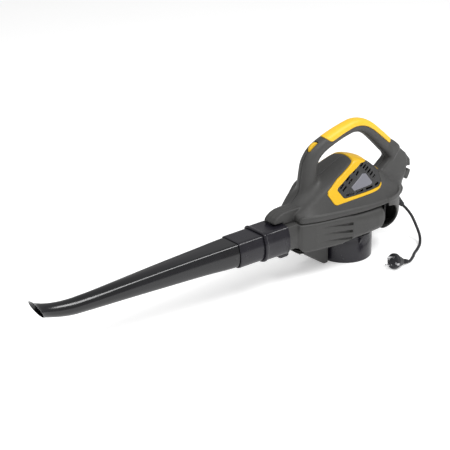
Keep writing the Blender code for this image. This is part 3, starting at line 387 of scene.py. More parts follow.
def surface(name, grid, field, mirror=False):
    """Mesh of the zero level of a field, one vertex in each cell that it crosses."""
    nx, ny, nz = field.shape
    inside = field < 0
    offsets = [(i, j, k) for i in (0, 1) for j in (0, 1) for k in (0, 1)]
    total = sum(inside[i : nx - 1 + i, j : ny - 1 + j, k : nz - 1 + k].astype(np.int8) for i, j, k in offsets)
    active = (total > 0) & (total < 8)
    cells = np.argwhere(active)
    index = np.full(active.shape, -1, np.int64)
    index[active] = np.arange(len(cells))
    places = np.zeros((len(cells), 3))
    weight = np.zeros(len(cells))
    for start in offsets:
        for axis in range(3):
            if start[axis]:
                continue
            end = list(start)
            end[axis] = 1
            a = field[tuple((cells + start).T)]
            b = field[tuple((cells + end).T)]
            crossed = (a < 0) != (b < 0)
            t = np.where(crossed, a / np.where(crossed, a - b, 1), 0)
            point = cells + np.array(start, float)
            point[:, axis] += t
            places += point * crossed[:, None]
            weight += crossed
    places /= weight[:, None]
    faces = []
    for axis in range(3):
        u, v = (axis + 1) % 3, (axis + 2) % 3
        low = [slice(None)] * 3
        high = [slice(None)] * 3
        low[axis], high[axis] = slice(None, -1), slice(1, None)
        change = inside[tuple(low)] != inside[tuple(high)]
        points = np.argwhere(change)
        limit = np.array(active.shape)
        good = (points[:, u] > 0) & (points[:, v] > 0) & (points[:, u] < limit[u]) & (points[:, v] < limit[v])
        points = points[good]
        back_u, back_v = np.zeros(3, int), np.zeros(3, int)
        back_u[u], back_v[v] = 1, 1
        corners = (points - back_u - back_v, points - back_v, points, points - back_u)
        quads = np.stack([index[tuple(c.T)] for c in corners], 1)
        flip = ~inside[tuple(points.T)]
        quads[flip] = quads[flip][:, ::-1]
        faces.append(quads)
    faces = np.concatenate(faces)
    points = grid.low + places * grid.step
    if mirror:
        points[:, 1] *= -1
        faces = faces[:, ::-1]
    points = eased(points, faces)
    mesh = bpy.data.meshes.new(name)
    moved = points.copy()
    moved[:, 0] -= ORIGIN_X
    mesh.vertices.add(len(moved))
    mesh.vertices.foreach_set("co", (moved * MM).astype(np.float32).ravel())
    mesh.loops.add(len(faces) * 4)
    mesh.loops.foreach_set("vertex_index", faces.astype(np.int32).ravel())
    mesh.polygons.add(len(faces))
    mesh.polygons.foreach_set("loop_start", np.arange(0, len(faces) * 4, 4, dtype=np.int32))
    mesh.update(calc_edges=True)
    mesh.validate()
    mesh.shade_smooth()
    return mesh


def eased(points, faces):
    """Points moved a third of the way to the middle of their neighbours."""
    total = np.zeros_like(points)
    count = np.zeros(len(points))
    for a, b in ((0, 1), (1, 2), (2, 3), (3, 0)):
        for one, other in ((a, b), (b, a)):
            for column in range(3):
                total[:, column] += np.bincount(faces[:, one], points[faces[:, other], column], len(points))
            count += np.bincount(faces[:, one], minlength=len(points))
    return points + (total / np.maximum(count, 1)[:, None] - points) / 3


# ---------------------------------------------------------------- shared sizes

SHELL_TABLE = (  # X, belt half width, crease half width, crease height, ridge height
    (-190.0, 53.0, 39.0, 156.0, 161.0),
    (-178.0, 58.0, 44.0, 162.0, 167.0),
    (-150.0, 66.0, 45.0, 177.0, 184.0),
    (-118.0, 71.5, 45.0, 197.0, 205.0),
    (-71.0, 76.5, 42.0, 219.0, 225.0),
    (-40.0, 79.5, 37.0, 234.0, 239.0),
    (-8.0, 81.5, 31.0, 245.0, 249.0),
    (20.0, 82.0, 30.0, 240.0, 244.0),
    (60.0, 79.5, 28.0, 216.0, 221.0),
    (96.0, 72.0, 25.0, 186.0, 190.0),
    (125.0, 60.0, 22.0, 166.0, 172.0),
    (150.0, 42.0, 18.0, 158.0, 162.0),
    (169.0, 22.0, 12.0, 153.0, 156.0),
)
HANDLE_TABLE = (  # step, X, Z, half depth in the handle's plane, half width
    (0, -124.0, 158.0, 44.0, 30.0),
    (1, -122.0, 178.0, 33.0, 26.0),
    (2, -121.0, 195.0, 26.5, 23.0),
    (3, -121.5, 213.0, 23.0, 21.0),
    (4, -121.0, 235.0, 20.5, 20.0),
    (5, -117.0, 257.0, 19.5, 19.0),
    (6, -104.0, 276.0, 18.5, 18.0),
    (7, -82.0, 290.0, 17.0, 17.0),
    (8, -48.0, 302.5, 16.0, 16.5),
    (9, -12.0, 312.0, 15.8, 16.0),
    (10, 16.0, 316.0, 16.0, 16.0),
    (11, 42.0, 310.5, 16.4, 16.0),
    (12, 66.0, 296.5, 17.0, 16.2),
    (13, 95.0, 271.0, 18.0, 16.8),
    (14, 124.0, 243.5, 19.0, 17.5),
    (15, 146.0, 224.0, 20.0, 17.5),
)
GRIP_STEPS = (7.35, 13.9)
REAR_WEB = [
    (128, 240), (147, 243), (161, 231), (184, 211), (190, 190), (187, 168), (183, 150), (179, 138),
    (175, 124), (172, 110), (169, 98), (160, 90), (140, 112), (105, 145), (90, 170), (99, 187),
    (114, 199), (131, 211), (128, 224),
]
HOOKS = [
    (180, 214), (186, 211), (206, 187), (208, 173), (207, 169), (198, 171), (190, 167), (189, 162),
    (196, 158), (204, 162), (209.5, 158), (208, 151), (201, 137), (197, 136), (189, 146), (180, 147),
    (174, 160), (174, 200),
]
HOOD = [
    (-160, 140.6), (-219, 140.6), (-221, 146.5), (-243, 146.5), (-247, 148.5), (-246, 153), (-240, 160),
    (-231, 165.5), (-219, 169.3), (-205, 170.5), (-160, 170.5),
]
HOOD_Y = -13.0
BAND_FRONT = [  # shared by the trim band and by the recess for all the covers
    (-7, 272), (-6, 246.5), (-9, 243.5), (-27, 235), (-68, 217), (-102, 197), (-104.5, 189), (-93, 167),
    (-87, 164), (-39, 166), (40, 167), (54, 169),
]
COVER_AREA = [*BAND_FRONT, (64, 173), (69, 177.5), (71, 185), (74.5, 194.7), (92, 194.7), (94, 272)]
TRIM_OUTER = [*BAND_FRONT, (64, 173.5), (69, 178), (61, 175.5), (40, 174), (40, 234), (41, 272)]
PANEL_EDGE = [
    (41, 272), (40.5, 231.5), (11, 234), (0, 229), (-33, 218), (-73, 199), (-76, 194.5), (-64, 175.5),
    (-58, 173), (54, 172.5), (62, 175.0), (68.5, 178), (70, 185), (74, 195), (84, 195), (86, 272),
]
REAR_TRIM = [(84.5, 195.3), (91.5, 195.3), (93.5, 272), (86.5, 272)]
BADGE = [(9, 212), (20, 210), (34, 187), (27, 184), (-30, 183), (-35, 192)]
SLOTS = (  # start and end of each vent slot's middle line: X, Z
    ((21, 231), (9, 227)), ((30, 225.5), (16, 221.5)), ((37, 219), (22, 215.5)), ((43, 212), (27, 208.5)),
    ((48, 204.5), (33, 201.5)), ((53, 196.5), (38, 193.5)),
    ((-9, 225.5), (-18, 220)), ((-1, 219), (-11, 212.5)), ((-32, 215), (-45, 207)),
    ((-25, 208), (-39, 200.5)), ((-54, 203.5), (-66, 195.5)), ((-47, 197), (-61, 189)),
    ((-31, 178), (-54, 178)), ((-2, 178.5), (-25, 178)), ((31, 178), (8, 178.5)), ((57, 179), (41, 178)),
)
DIAL_X, DIAL_Z, DIAL_RADIUS, DIAL_HALF = -102.0, 285.5, 16.5, 4.2
TUBE_Y, TUBE_Z = -16.0, 109.0
GLAND_ROOT = Vector((170.5, 0.0, 92.0))
GLAND_TIP = Vector((190.0, -5.0, 70.0))
GLAND_AXIS = (GLAND_TIP - GLAND_ROOT).normalized()
PLUG_FACE = Vector((22.0, -143.0, 19.4))
PLUG_AXIS = Vector((-0.957, 0.05, 0.28)).normalized()
PLUG_LENGTH = 48.0
SCREW_HOLES = (  # X, Z; the last two are not where the frame's fifth and sixth housing screws are
    (-121.0, 232.0), (-122.0, 182.0), (146.0, 221.0), (177.0, 194.0), (179.5, 143.0), (-190.0, 157.5),
)
SHELL_STEP = 1.3
DETAIL_STEP = 0.9
BELT_DROP = 16.0 / 289.0  # the belt's top edge falls this much for each millimetre towards the rear


def seam_height(x):
    """The line where the upper housing meets the fan case."""
    return np.interp(x, (-200, -20, 200), (140.0, 133.2, 132.6)).astype(np.float32)


def belt_top(x):
    return (156.0 - (x + 206.0) * BELT_DROP).astype(np.float32)


def dome_field(g, foot=None):
    """Distance to the upper housing's outer skin. foot lowers its bottom, for a hollow that is open below."""
    x = g.x[:, 0, 0]
    belt, crease_y, crease_z, ridge = (v.astype(np.float32)[:, None, None] for v in through(SHELL_TABLE, x))
    bottom = seam_height(x)[:, None, None] if foot is None else np.full_like(belt, foot)
    top = belt_top(x)[:, None, None]
    top = np.minimum(top, crease_z - 6)
    line = (
        (belt - 1.8, bottom), (belt + 0.4, bottom + 2.5), (belt + 0.4, top - 4.0), (belt - 1.6, top),
        (belt - 4.4, top + 1.2), (crease_y + 5.0, crease_z - 6.0), (crease_y + 1.0, crease_z - 2.0),
        (crease_y - 4.0, crease_z), (crease_y * 0.45, crease_z * 0.35 + ridge * 0.65), (0 * belt, ridge),
    )
    a = np.abs(g.y)
    best, inside = None, None
    edges = [((0 * belt, bottom), line[0])] + list(zip(line, line[1:]))
    for (ay, az), (by, bz) in edges:
        ey, ez = by - ay, bz - az
        wy, wz = a - ay, g.z - az
        t = np.clip((wy * ey + wz * ez) / (ey * ey + ez * ez + 1e-9), 0, 1)
        square = (wy - ey * t) ** 2 + (wz - ez * t) ** 2
        best = square if best is None else np.minimum(best, square)
        rise = np.where(np.abs(ez) < 1e-6, 1e-6, ez)
        crosses = ((az > g.z) != (bz > g.z)) & (a < ey * (g.z - az) / rise + ay)
        inside = crosses if inside is None else inside ^ crosses
    section = np.where(inside, -np.sqrt(best), np.sqrt(best))
    return smooth_max(smooth_max(section, -188.0 - g.x, 7.0), g.x - 169.0, 7.0)


def handle_fields(g):
    """Distance to the handle bar, the step along it, and the angle round its section from the outer side."""
    steps = np.linspace(0, 15, 301)
    cx, cz, deep, wide = through(HANDLE_TABLE, steps)
    tx, tz = np.gradient(cx), np.gradient(cz)
    size = np.hypot(tx, tz)
    nx, nz = -tz / size, tx / size
    px = np.broadcast_to(g.x[:, 0, :], (g.count[0], g.count[2]))
    pz = np.broadcast_to(g.z[:, 0, :], (g.count[0], g.count[2]))
    nearest = np.zeros(px.shape, int)
    best = np.full(px.shape, 1e9)
    for i in range(len(steps)):
        square = (px - cx[i]) ** 2 + (pz - cz[i]) ** 2
        closer = square < best
        nearest[closer] = i
        best[closer] = square[closer]
    off = ((px - cx[nearest]) * nx[nearest] + (pz - cz[nearest]) * nz[nearest]).astype(np.float32)
    along = ((px - cx[nearest]) * tx[nearest] + (pz - cz[nearest]) * tz[nearest]) / size[nearest]
    d = deep[nearest].astype(np.float32)[:, None, :]
    w = wide[nearest].astype(np.float32)[:, None, :]
    n = off[:, None, :]
    bend = 2.35
    r = (np.abs(n / d) ** bend + np.abs(g.y / w) ** bend) ** (1 / bend)
    field = (r - 1) * np.minimum(d, w)
    past = np.where((nearest == 0) | (nearest == len(steps) - 1), np.abs(along), 0).astype(np.float32)
    field = np.maximum(field, past[:, None, :] - 1.0)
    angle = np.degrees(np.arctan2(np.abs(g.y) / w, n / d))
    return field, steps[nearest].astype(np.float32)[:, None, :], angle


def grip_region(step, angle, grow):
    """Distance to the grip's edge, measured over the handle's skin."""
    share = (step - GRIP_STEPS[0]) / (GRIP_STEPS[1] - GRIP_STEPS[0])
    half = 92.0 - 19.0 * np.clip(share, 0, 1)
    side = (angle - half) * 0.29
    lag = (angle / half) ** 2 * 0.3
    front = (GRIP_STEPS[0] + lag - step) * 34.0
    rear = (step - GRIP_STEPS[1]) * 38.0
    return smooth_max(smooth_max(side, front, 5.0), rear, 5.0) - grow


def bowl_field(g):
    """The solid round shape behind the fan case whose skin is the skirt."""
    ex, ey = (g.x - 60.0) / 92.0, g.y / 79.0
    r = np.sqrt(ex * ex + ey * ey)
    ring = (r - 1) * 85.0
    return slab(ring, 54.0 - g.z, 40.0)


def skirt_field(g):
    """The bowl-shaped wall round the back of the fan case, with its C-shaped side opening."""
    bowl = bowl_field(g)
    opening = [
        (30, 30), (30, 133), (86, 121), (97, 116), (104, 106), (107, 95), (105, 82), (100, 70), (89, 62),
        (78, 58), (72, 30),
    ]
    lip = side_view(g, opening)
    lip = np.where(np.abs(g.y) > 24, lip, 60.0)
    wall = np.abs(bowl + 1.6) - 1.6
    bead = slab(np.abs(bowl + 2.4) - 2.4, np.abs(lip - 2.0) - 2.0, 1.4)
    body = smooth_max(smooth_min(wall, bead, 1.5), -lip, 1.0)
    return np.maximum(np.maximum(body, g.z - 145.0), 66.0 - g.x)


def hood_field(g, side, middle):
    """The box over the tube's release, with two moulded lines along its top."""
    body = slab(side, np.abs(g.y - middle) - 18.0, 2.5)
    lines = np.abs(np.abs(g.y - middle) - 6.0) - 0.9
    return smooth_max(body, -np.maximum(lines, -(side + 1.2)), 0.8)


def housing():
    g = Grid((-252, -92, 48), (214, 3, 337), SHELL_STEP)
    dome = dome_field(g)
    hollow = dome_field(g, 128.0) + 3.4
    bar, step, angle = handle_fields(g)
    body = smooth_min(dome, bar, 13.0)
    web_half = np.interp(g.z, (95, 165), (8.5, 17.0)).astype(np.float32)
    web = slab(side_view(g, REAR_WEB) + 0.5, np.abs(g.y) - web_half, 6.0)
    body = smooth_min(body, web, 12.0)
    body = smooth_min(body, skirt_field(g), 4.0)
    hooks = slab(side_view(g, HOOKS), np.abs(g.y) - 7.0, 1.6)
    body = smooth_min(body, hooks, 3.0)
    to_gland = np.stack(np.broadcast_arrays(g.x - GLAND_ROOT.x, g.y - GLAND_ROOT.y, g.z - GLAND_ROOT.z))
    along = sum(part * value for part, value in zip(to_gland, GLAND_AXIS))
    radial = np.sqrt(np.maximum(sum(part * part for part in to_gland) - along * along, 0))
    body = smooth_min(body, slab(radial - 9.5, np.abs(along - 1.5) - 5.2, 1.5), 5.0)

    inner = smooth_max(hollow, np.maximum(-150.0 - g.x, g.x - 150.0), 6.0)
    body = smooth_max(body, -inner, 1.5)
    cover = side_view(g, COVER_AREA)
    body = smooth_max(body, -np.maximum(cover - 0.5, dome - 4.0), 0.8)
    grip = np.maximum(grip_region(step, angle, 0.7), -(bar + 3.4))
    body = smooth_max(body, -grip, 0.6)
    wheel = np.hypot(g.x - DIAL_X, g.z - DIAL_Z)
    slot = smooth_max(wheel - DIAL_RADIUS - 1.5, np.abs(g.y) - DIAL_HALF - 1.4, 2.5)
    body = smooth_max(body, -slot, 1.6)
    body = smooth_max(body, -np.maximum(radial - 6.4, -along - 12.0), 0.8)
    body = np.maximum(body, seam_height(g.x) - g.z + np.where(g.x > 68, -100.0, 0.0))
    body = smooth_max(body, g.y + 0.2, 1.0)
    holes = np.full_like(body, 1e3)
    for x, z in SCREW_HOLES:
        bore = np.hypot(g.x - x, g.z - z)
        holes = np.minimum(holes, np.maximum(bore - 4.4, g.y + 10.5))
    hood_side = side_view(g, HOOD)
    near, far = (hood_field(g, hood_side, middle) for middle in (HOOD_Y, -HOOD_Y))
    slope = (-g.y - (18.0 + (g.x + 190.0) * 0.48)) * 0.9
    far = smooth_min(smooth_max(body, slope, 8.0), far, 2.0)
    far = smooth_max(far, g.y + 0.2, 1.0)
    body = smooth_max(smooth_min(body, near, 2.0), g.y + 0.2, 1.0)
    mesh = surface("shell_left", g, body)
    keep(mesh, "shell_left", HOUSING, BODY, ["housing_left"])
    mesh = surface("shell_right", g, smooth_max(far, -holes, 0.8), mirror=True)
    keep(mesh, "shell_right", HOUSING, BODY, ["housing_right"])


def grip_cover():
    g = Grid((-110, -20, 232), (140, 20, 337), DETAIL_STEP)
    bar, step, angle = handle_fields(g)
    field = slab(bar - 0.5, grip_region(step, angle, 0.0), 1.1)
    field = smooth_max(field, -(bar + 3.0), 0.6)
    mesh = surface("grip_cover", g, field)
    keep(mesh, "grip_cover", GRIP, BODY, ["handle_grip"])


def capsule(u, v, start, end, half):
    """Distance to a bar with square ends between two points."""
    (ax, ay), (bx, by) = start, end
    long = math.hypot(bx - ax, by - ay)
    ex, ey = (bx - ax) / long, (by - ay) / long
    along = (u - ax) * ex + (v - ay) * ey - long / 2
    over = -(u - ax) * ey + (v - ay) * ex
    return slab(np.abs(along) - long / 2, np.abs(over) - half, 0.7)


def covers():
    g = Grid((-108, -92, 160), (97, 92, 256), DETAIL_STEP)
    flat_x, flat_z = g.x[:, 0, :], g.z[:, 0, :]
    skin = dome_field(g, 100.0)
    panel = side_view(g, PANEL_EDGE)

    band = slab(np.abs(skin + 0.9) - 2.1, np.maximum(side_view(g, TRIM_OUTER) + 0.1, -panel + 0.3), 1.1)
    keep_surface("trim_band", g, band, YELLOW, BODY, ["dome_trim"])
    strip = slab(np.abs(skin + 0.9) - 2.1, side_view(g, REAR_TRIM), 1.1)
    keep_surface("trim_rear", g, strip, YELLOW, BODY, ["rear_trim"])

    plate = slab(np.abs(skin + 1.9) - 1.4, panel + 0.1, 0.6)
    badge_area = side_view(g, BADGE)
    side = 12.0 - np.abs(g.y)
    frame_rim = slab(np.abs(skin + 1.4) - 1.6, np.abs(badge_area - 2.2) - 1.2, 0.5)
    plate = smooth_min(plate, np.maximum(frame_rim, side), 0.8)
    for start, end in SLOTS:
        slot = capsule(flat_x, flat_z, start, end, 2.3)[:, None, :]
        plate = smooth_max(plate, -np.maximum(slot, side), 0.6)
    plate = smooth_max(plate, -np.maximum(badge_area - 0.5, side), 0.5)
    badge = slab(np.abs(skin + 0.9) - 1.5, np.maximum(badge_area, side), 0.9)
    for sign, name in ((-1, "left"), (1, "right")):
        half = smooth_max(plate, g.y * -sign + 0.1, 0.4)
        keep_surface(f"vent_cover_{name}", g, half, PANEL, BODY, [f"vent_panel_{name}"])
        half = np.maximum(badge, g.y * -sign)
        keep_surface(f"blank_badge_{name}", g, half, BADGE_GREY, BODY, [f"badge_{name}"])


# ---------------------------------------------------------------- fan case

PLAN = [
    (-196, -20), (-196, -46), (-193, -56), (-186, -60.5), (-150, -69), (-100, -76.5), (-50, -83), (0, -86.5),
    (30, -87), (46, -85.5), (55, -79), (61, -68), (76, -58), (90, -42), (98, -22), (101, 0), (98, 22),
    (90, 42), (76, 60), (55, 78), (30, 86), (-5, 85), (-45, 76), (-85, 58), (-120, 36), (-150, 24),
    (-192, 12),
]
PANEL_FRONT = [
    (-110, 60), (-110, 150), (-170, 150), (-183, 147), (-190, 141), (-194.5, 133), (-196, 124), (-195.5, 92),
    (-193, 83), (-187, 75), (-178, 70), (-168, 68.5), (-150, 60),
]
GROOVES = (  # start and end of each groove's middle line: X, Z
    ((-150, 125), (-49, 113)),
    ((-149, 109), (-50, 95)),
    ((-148, 90), (-50, 78)),
)
GROOVE_DEPTH = 6.5
GROOVE_HALF = 4.6

BARREL = (  # half section of the blowing tube for a half height of 1: angle, across, up
    (90, 0.0, 1.0), (63, 0.5, 1.0), (52, 0.8, 0.997), (47, 0.9, 0.975), (43, 0.965, 0.92), (38, 1.0, 0.84),
    (30, 1.06, 0.66), (16, 1.17, 0.34), (0, 1.22, 0.0), (-18, 1.205, -0.36), (-34, 1.13, -0.68),
    (-48, 0.98, -0.88), (-62, 0.7, -0.98), (-78, 0.3, -1.0), (-90, 0.0, -1.0),
)


def barrel_ring(x, half, roundness=0.0, z=TUBE_Z, tilt=0.0, points=40):
    """The tube's section, smoothly read at even steps of angle down one side and back up the other."""
    angles = np.linspace(90, -90, points + 1)
    across, up = through([(-a, b, c) for a, b, c in BARREL], -angles)
    radians = np.radians(angles)
    across = (1 - roundness) * across + roundness * np.cos(radians)
    up = (1 - roundness) * up + roundness * np.sin(radians)
    side = list(zip(across * half, up * half))
    outline = side + [(-a, b) for a, b in side[-2:0:-1]]
    lean = math.radians(tilt)
    return [(x - b * math.sin(lean), TUBE_Y + a, z + b * math.cos(lean)) for a, b in outline]


def barrel_field(g, half):
    """Distance to the barrel section, the same along X."""
    outline = [(y, z) for _, y, z in barrel_ring(0, half, points=16)]
    return polygon(g.y[0], g.z[0], outline)[None, :, :]


def fan_case():
    g = Grid((-262, -92, 58), (108, 92, 143), SHELL_STEP)
    plan = plan_view(g, PLAN)
    top = seam_height(g.x) - 0.4
    rounding = np.interp(g.x, (-190, -75, -40, 30), (6.0, 7.0, 18.0, 26.0)).astype(np.float32)
    middle, half = (69.3 + top) / 2, (top - 69.3) / 2
    body = slab(plan, np.abs(g.z - middle) - half, rounding)
    front = side_view(g, PANEL_FRONT)
    near_side = slab(front, plan, 5.0)
    body = smooth_max(body, np.where(g.x < -120, near_side, -50.0), 1.0)
    duct = slab(plan + 7.0, np.abs(g.z - 104.0) - 35.0, 6.0)
    body = smooth_min(body, np.maximum(duct, g.x + 140.0), 1.5)
    flank = np.where(g.y < 0, 1.0, 0.0).astype(np.float32)
    for (ax, az), (bx, bz) in GROOVES:
        share = (g.x - ax) / (bx - ax)
        line = az + (bz - az) * share
        open_share = np.clip(share, 0, 1)
        width = 0.4 + (GROOVE_HALF - 0.4) * open_share**0.9
        depth = GROOVE_DEPTH * open_share**1.1
        over = (g.z - line) / np.maximum(width, 0.3)
        shape = np.clip(1 - np.abs(over), 0, 1)
        cut = np.maximum(-plan - depth * np.minimum(shape * 1.7, 1.0), g.x - bx)
        cut = np.maximum(cut, np.abs(g.z - line) - width)
        cut = np.maximum(cut, ax - g.x)
        body = smooth_max(body, -np.where(flank > 0, cut, 50.0), 1.4)
    sleeve = np.maximum(barrel_field(g, 31.3), np.maximum(-258.0 - g.x, g.x + 180.0))
    body = smooth_min(body, sleeve, 7.0)
    thick = np.interp(g.x, (-160, -50, -47, -46.9), (3.2, 9.5, 9.5, 3.2)).astype(np.float32)
    thick = np.where(g.y < 0, thick, 3.2)
    hollow = slab(plan + thick, np.abs(g.z - middle) - half + 3.2, np.maximum(rounding - 3.0, 4.0))
    hollow = np.minimum(hollow, slab(plan + rounding + 4.0, np.abs(g.z - 66.0) - 12.0, 1.0))
    bore = np.maximum(barrel_field(g, 29.1), np.maximum(-300.0 - g.x, g.x + 150.0))
    body = smooth_max(body, -smooth_min(hollow, bore, 4.0), 0.8)
    hub = np.maximum(np.hypot(g.x, g.y) - 9.0, 120.0 - g.z)
    body = smooth_max(body, -hub, 0.8)
    keep_surface("fan_case", g, body, CASE, BODY, ["volute_case"])


def rear_painted_shade():
    """Painted shade: a near-black skin lining the gap between the fan case and the skirt, standing for the
    shade in that gap rather than for a part.
    """
    g = Grid((50, -82, 52), (156, 82, 137), SHELL_STEP)
    bowl = bowl_field(g)
    skin = np.abs(bowl + 4.4) - 1.0
    skin = np.maximum(skin, np.maximum(66.0 - g.x, g.z - 131.0))
    opening = np.maximum(24.0 - np.abs(g.y), g.x - 116.0)
    skin = np.maximum(skin, -opening)
    plan = plan_view(g, PLAN)
    case = np.maximum(np.abs(plan - 1.3) - 0.8, np.abs(g.z - 106.0) - 25.0)
    case = np.maximum(case, 63.0 - g.x)
    roof = np.maximum(np.maximum(bowl + 5.0, 0.8 - plan), np.abs(g.z - 130.2) - 1.0)
    mesh = surface("rear_painted_shade", g, np.minimum(np.minimum(skin, case), roof))
    keep(mesh, "rear_painted_shade", INNER_BLACK_AND_SHADE, BODY)


def base_plate():
    g = Grid((-200, -90, 54), (106, 90, 74), 1.1)
    plan = plan_view(g, PLAN)
    radius = np.hypot(g.x, g.y)
    inset = np.interp(g.x, (-190, -75, -40, 30), (6.0, 7.0, 17.0, 25.0)).astype(np.float32)
    plate = slab(plan + inset, np.abs(g.z - 67.6) - 1.5, 0.8)
    collar = slab(np.abs(radius - 61.5) - 1.5, np.abs(g.z - 62.0) - 5.5, 0.8)
    plate = smooth_min(plate, collar, 2.0)
    for angle in range(15, 360, 30):
        t = math.radians(angle)
        across = np.abs(-g.x * math.sin(t) + g.y * math.cos(t)) - 0.9
        along = g.x * math.cos(t) + g.y * math.sin(t)
        rib = np.maximum(across, np.maximum(62.0 - along, along - 200.0))
        rib = np.maximum(rib, np.maximum(plan + inset + 2.0, np.abs(g.z - 65.4) - 2.2))
        plate = smooth_min(plate, rib, 0.8)
    plate = smooth_max(plate, -(radius - 50.0), 1.5)
    slot = np.maximum(np.abs(g.x - 74.2) - 8.2, np.abs(g.y) - 6.4)
    plate = smooth_max(plate, -slot, 0.5)
    keep_surface("base_plate", g, plate, CASE, BODY, ["volute_base"])


def front_foot():
    g = Grid((-160, -28, 0), (-68, 28, 68), 1.0)
    outline = [(-72, 1.2), (-84, 1.2), (-150, 46), (-156, 65.5), (-72, 65.5)]
    inner = [(-74.8, 3.8), (-83, 3.8), (-147.2, 47), (-152.5, 90), (-74.8, 90)]
    side = side_view(g, outline)
    room = side_view(g, inner)
    body = slab(side, np.abs(g.y) - 25.0, 2.4)
    body = smooth_max(body, -slab(room, np.abs(g.y) - 22.4, 1.5), 0.6)
    for y in (-10.0, 0.0, 10.0):
        rib = slab(np.abs(side + 0.2) - 0.9, np.abs(g.y - y) - 1.4, 0.5)
        body = smooth_min(body, np.maximum(rib, 46.0 - 0.68 * (g.x + 150.0) - g.z - 6.0), 0.8)
    body = np.maximum(body, g.z - 65.5)
    keep_surface("front_foot_wedge", g, body, CASE, BODY, ["front_foot"])


# ---------------------------------------------------------------- blowing tube

NOZZLE = (  # -X, half size, roundness, Z of the axis, tilt
    (330.0, 28.4, 0.0, 109.5, 0.0),
    (362.0, 28.4, 0.0, 109.5, 0.0),
    (450.0, 26.0, 0.15, 111.0, 0.0),
    (560.0, 23.6, 0.4, 111.7, 0.0),
    (670.0, 21.2, 0.75, 111.7, 0.0),
    (760.0, 18.9, 1.0, 111.7, 0.0),
    (795.0, 17.9, 1.0, 112.8, 4.0),
    (823.0, 17.3, 1.0, 116.6, 11.0),
    (845.0, 17.4, 1.0, 121.6, 17.0),
    (860.0, 18.6, 1.0, 126.2, 22.0),
    (872.0, 21.3, 1.0, 131.0, 27.0),
    (876.5, 23.3, 1.0, 133.4, 28.0),
)
TUBE_WALL = 1.7


def shell_between(name, outside, inside, material, stands_for):
    """A tube wall through outer rings and back through inner rings."""
    mesh = loft(name, outside + inside[::-1], 50.0)
    keep(mesh, name, material, BODY, stands_for)


def nozzle():
    at = np.concatenate([np.linspace(330, 760, 60), np.linspace(766, 876.5, 34)])
    half, roundness, height, tilt = through(NOZZLE, at)
    roundness = np.clip(roundness, 0, 1)
    rows = list(zip(at, half, roundness, height, np.maximum(tilt, 0)))
    outside = [barrel_ring(-x, h, r, z, a) for x, h, r, z, a in rows]
    inside = [barrel_ring(-x, h - TUBE_WALL, r, z, a) for x, h, r, z, a in rows]
    x, h, r, z, a = rows[-1]
    outside.append(barrel_ring(-x - 0.5, h - 0.35, r, z + 0.2, a))
    inside.append(barrel_ring(-x - 0.5, h - TUBE_WALL + 0.35, r, z + 0.2, a))
    shell_between("nozzle_tube", outside, inside, NOZZLE_BLACK, ["tube_nozzle"])


def sleeve_rings(steps):
    """Rings of the barrel section for (X, half size) pairs."""
    return [barrel_ring(x, half) for x, half in steps]


def collar_and_middle():
    outer = [
        (-220.2, 33.6), (-220.6, 34.5), (-221.6, 34.9), (-223.6, 34.8), (-225.0, 34.1), (-227.0, 33.9),
        (-240.0, 34.0), (-262.0, 34.0), (-283.0, 33.9), (-284.4, 34.1), (-285.6, 35.0), (-287.0, 35.3),
        (-290.5, 35.3), (-292.3, 35.0), (-292.8, 34.3),
    ]
    inner = [(-220.2, 32.2), (-256.0, 32.0), (-292.8, 32.2)]
    mesh = loft("collar", sleeve_rings(outer + inner[::-1]), 60.0)
    keep(mesh, "collar_tube", TUBE, BODY, ["tube_collar"])
    outer = [
        (-266.0, 31.2), (-294.5, 31.2), (-328.0, 31.0), (-355.0, 31.0), (-359.8, 30.95), (-361.2, 30.8),
        (-361.9, 30.3),
    ]
    inner = [(-266.0, 29.5), (-330.0, 29.3), (-361.9, 29.2)]
    mesh = loft("middle", sleeve_rings(outer + inner[::-1]), 60.0)
    keep(mesh, "middle_tube", TUBE, BODY, ["tube_middle"])


def tube_details():
    """The raised boss under the hood, the snap windows by each joint and the latch."""
    g = Grid((-250, -24, 138), (-216, 12, 148), 0.7)
    top = TUBE_Z + 34.0
    outline = [(-244, -14), (-244, 6), (-222, 6), (-222, -14)]
    plan = plan_view(g, outline)
    channel = np.maximum(np.abs(g.y + 4.0) - 5.5, -(g.x + 240.0))
    boss = slab(plan + 0.2, np.abs(g.z - top - 0.4) - 2.4, 1.2)
    boss = smooth_max(boss, -np.maximum(channel, top + 0.9 - g.z), 0.6)
    keep_surface("collar_boss", g, boss, TUBE, BODY)
    for number, (x, half) in enumerate(((-346.0, 31.0), (-232.0, 34.0), (-372.0, 28.3)), 1):
        for side in (-1, 1):
            y = TUBE_Y + side * half * 1.215
            z = TUBE_Z - 1.0
            g = Grid((x - 8, min(y - 4, y + 4), z - 8), (x + 8, max(y - 4, y + 4), z + 8), 0.5)
            face = slab(np.abs(g.x - x) - 4.5, np.abs(g.z - z) - 3.0, 1.0)
            tab = slab(face, np.abs(g.y - y + side * 0.6) - 1.0, 0.5)
            name = f"snap_tab_{number}_{'left' if side < 0 else 'right'}"
            material = NOZZLE_BLACK if number == 3 else TUBE
            keep_surface(name, g, tab, material, BODY)
    g = Grid((-232, -31, 54), (-195, -1, 77), 0.7)
    outline = [
        (-229, 62), (-226, 58.5), (-221, 57), (-203, 57), (-199, 60), (-198.5, 71), (-222, 71), (-223, 73.5),
        (-229, 73.5),
    ]
    side = side_view(g, outline)
    body = slab(side + 0.1, np.abs(g.y - TUBE_Y) - 12.3, 1.6)
    for x in (-216.0, -211.5, -207.0):
        groove = np.hypot(g.x - x, g.z - 56.6) - 1.1
        body = smooth_max(body, -groove, 0.4)
    pocket = np.maximum(np.hypot(g.x + 210.5, g.y - TUBE_Y) - 4.2, 63.0 - g.z)
    body = smooth_max(body, -pocket, 0.4)
    keep_surface("latch_tab", g, body, TUBE, "latch", ["tube_latch"])


# ---------------------------------------------------------------- intake ring


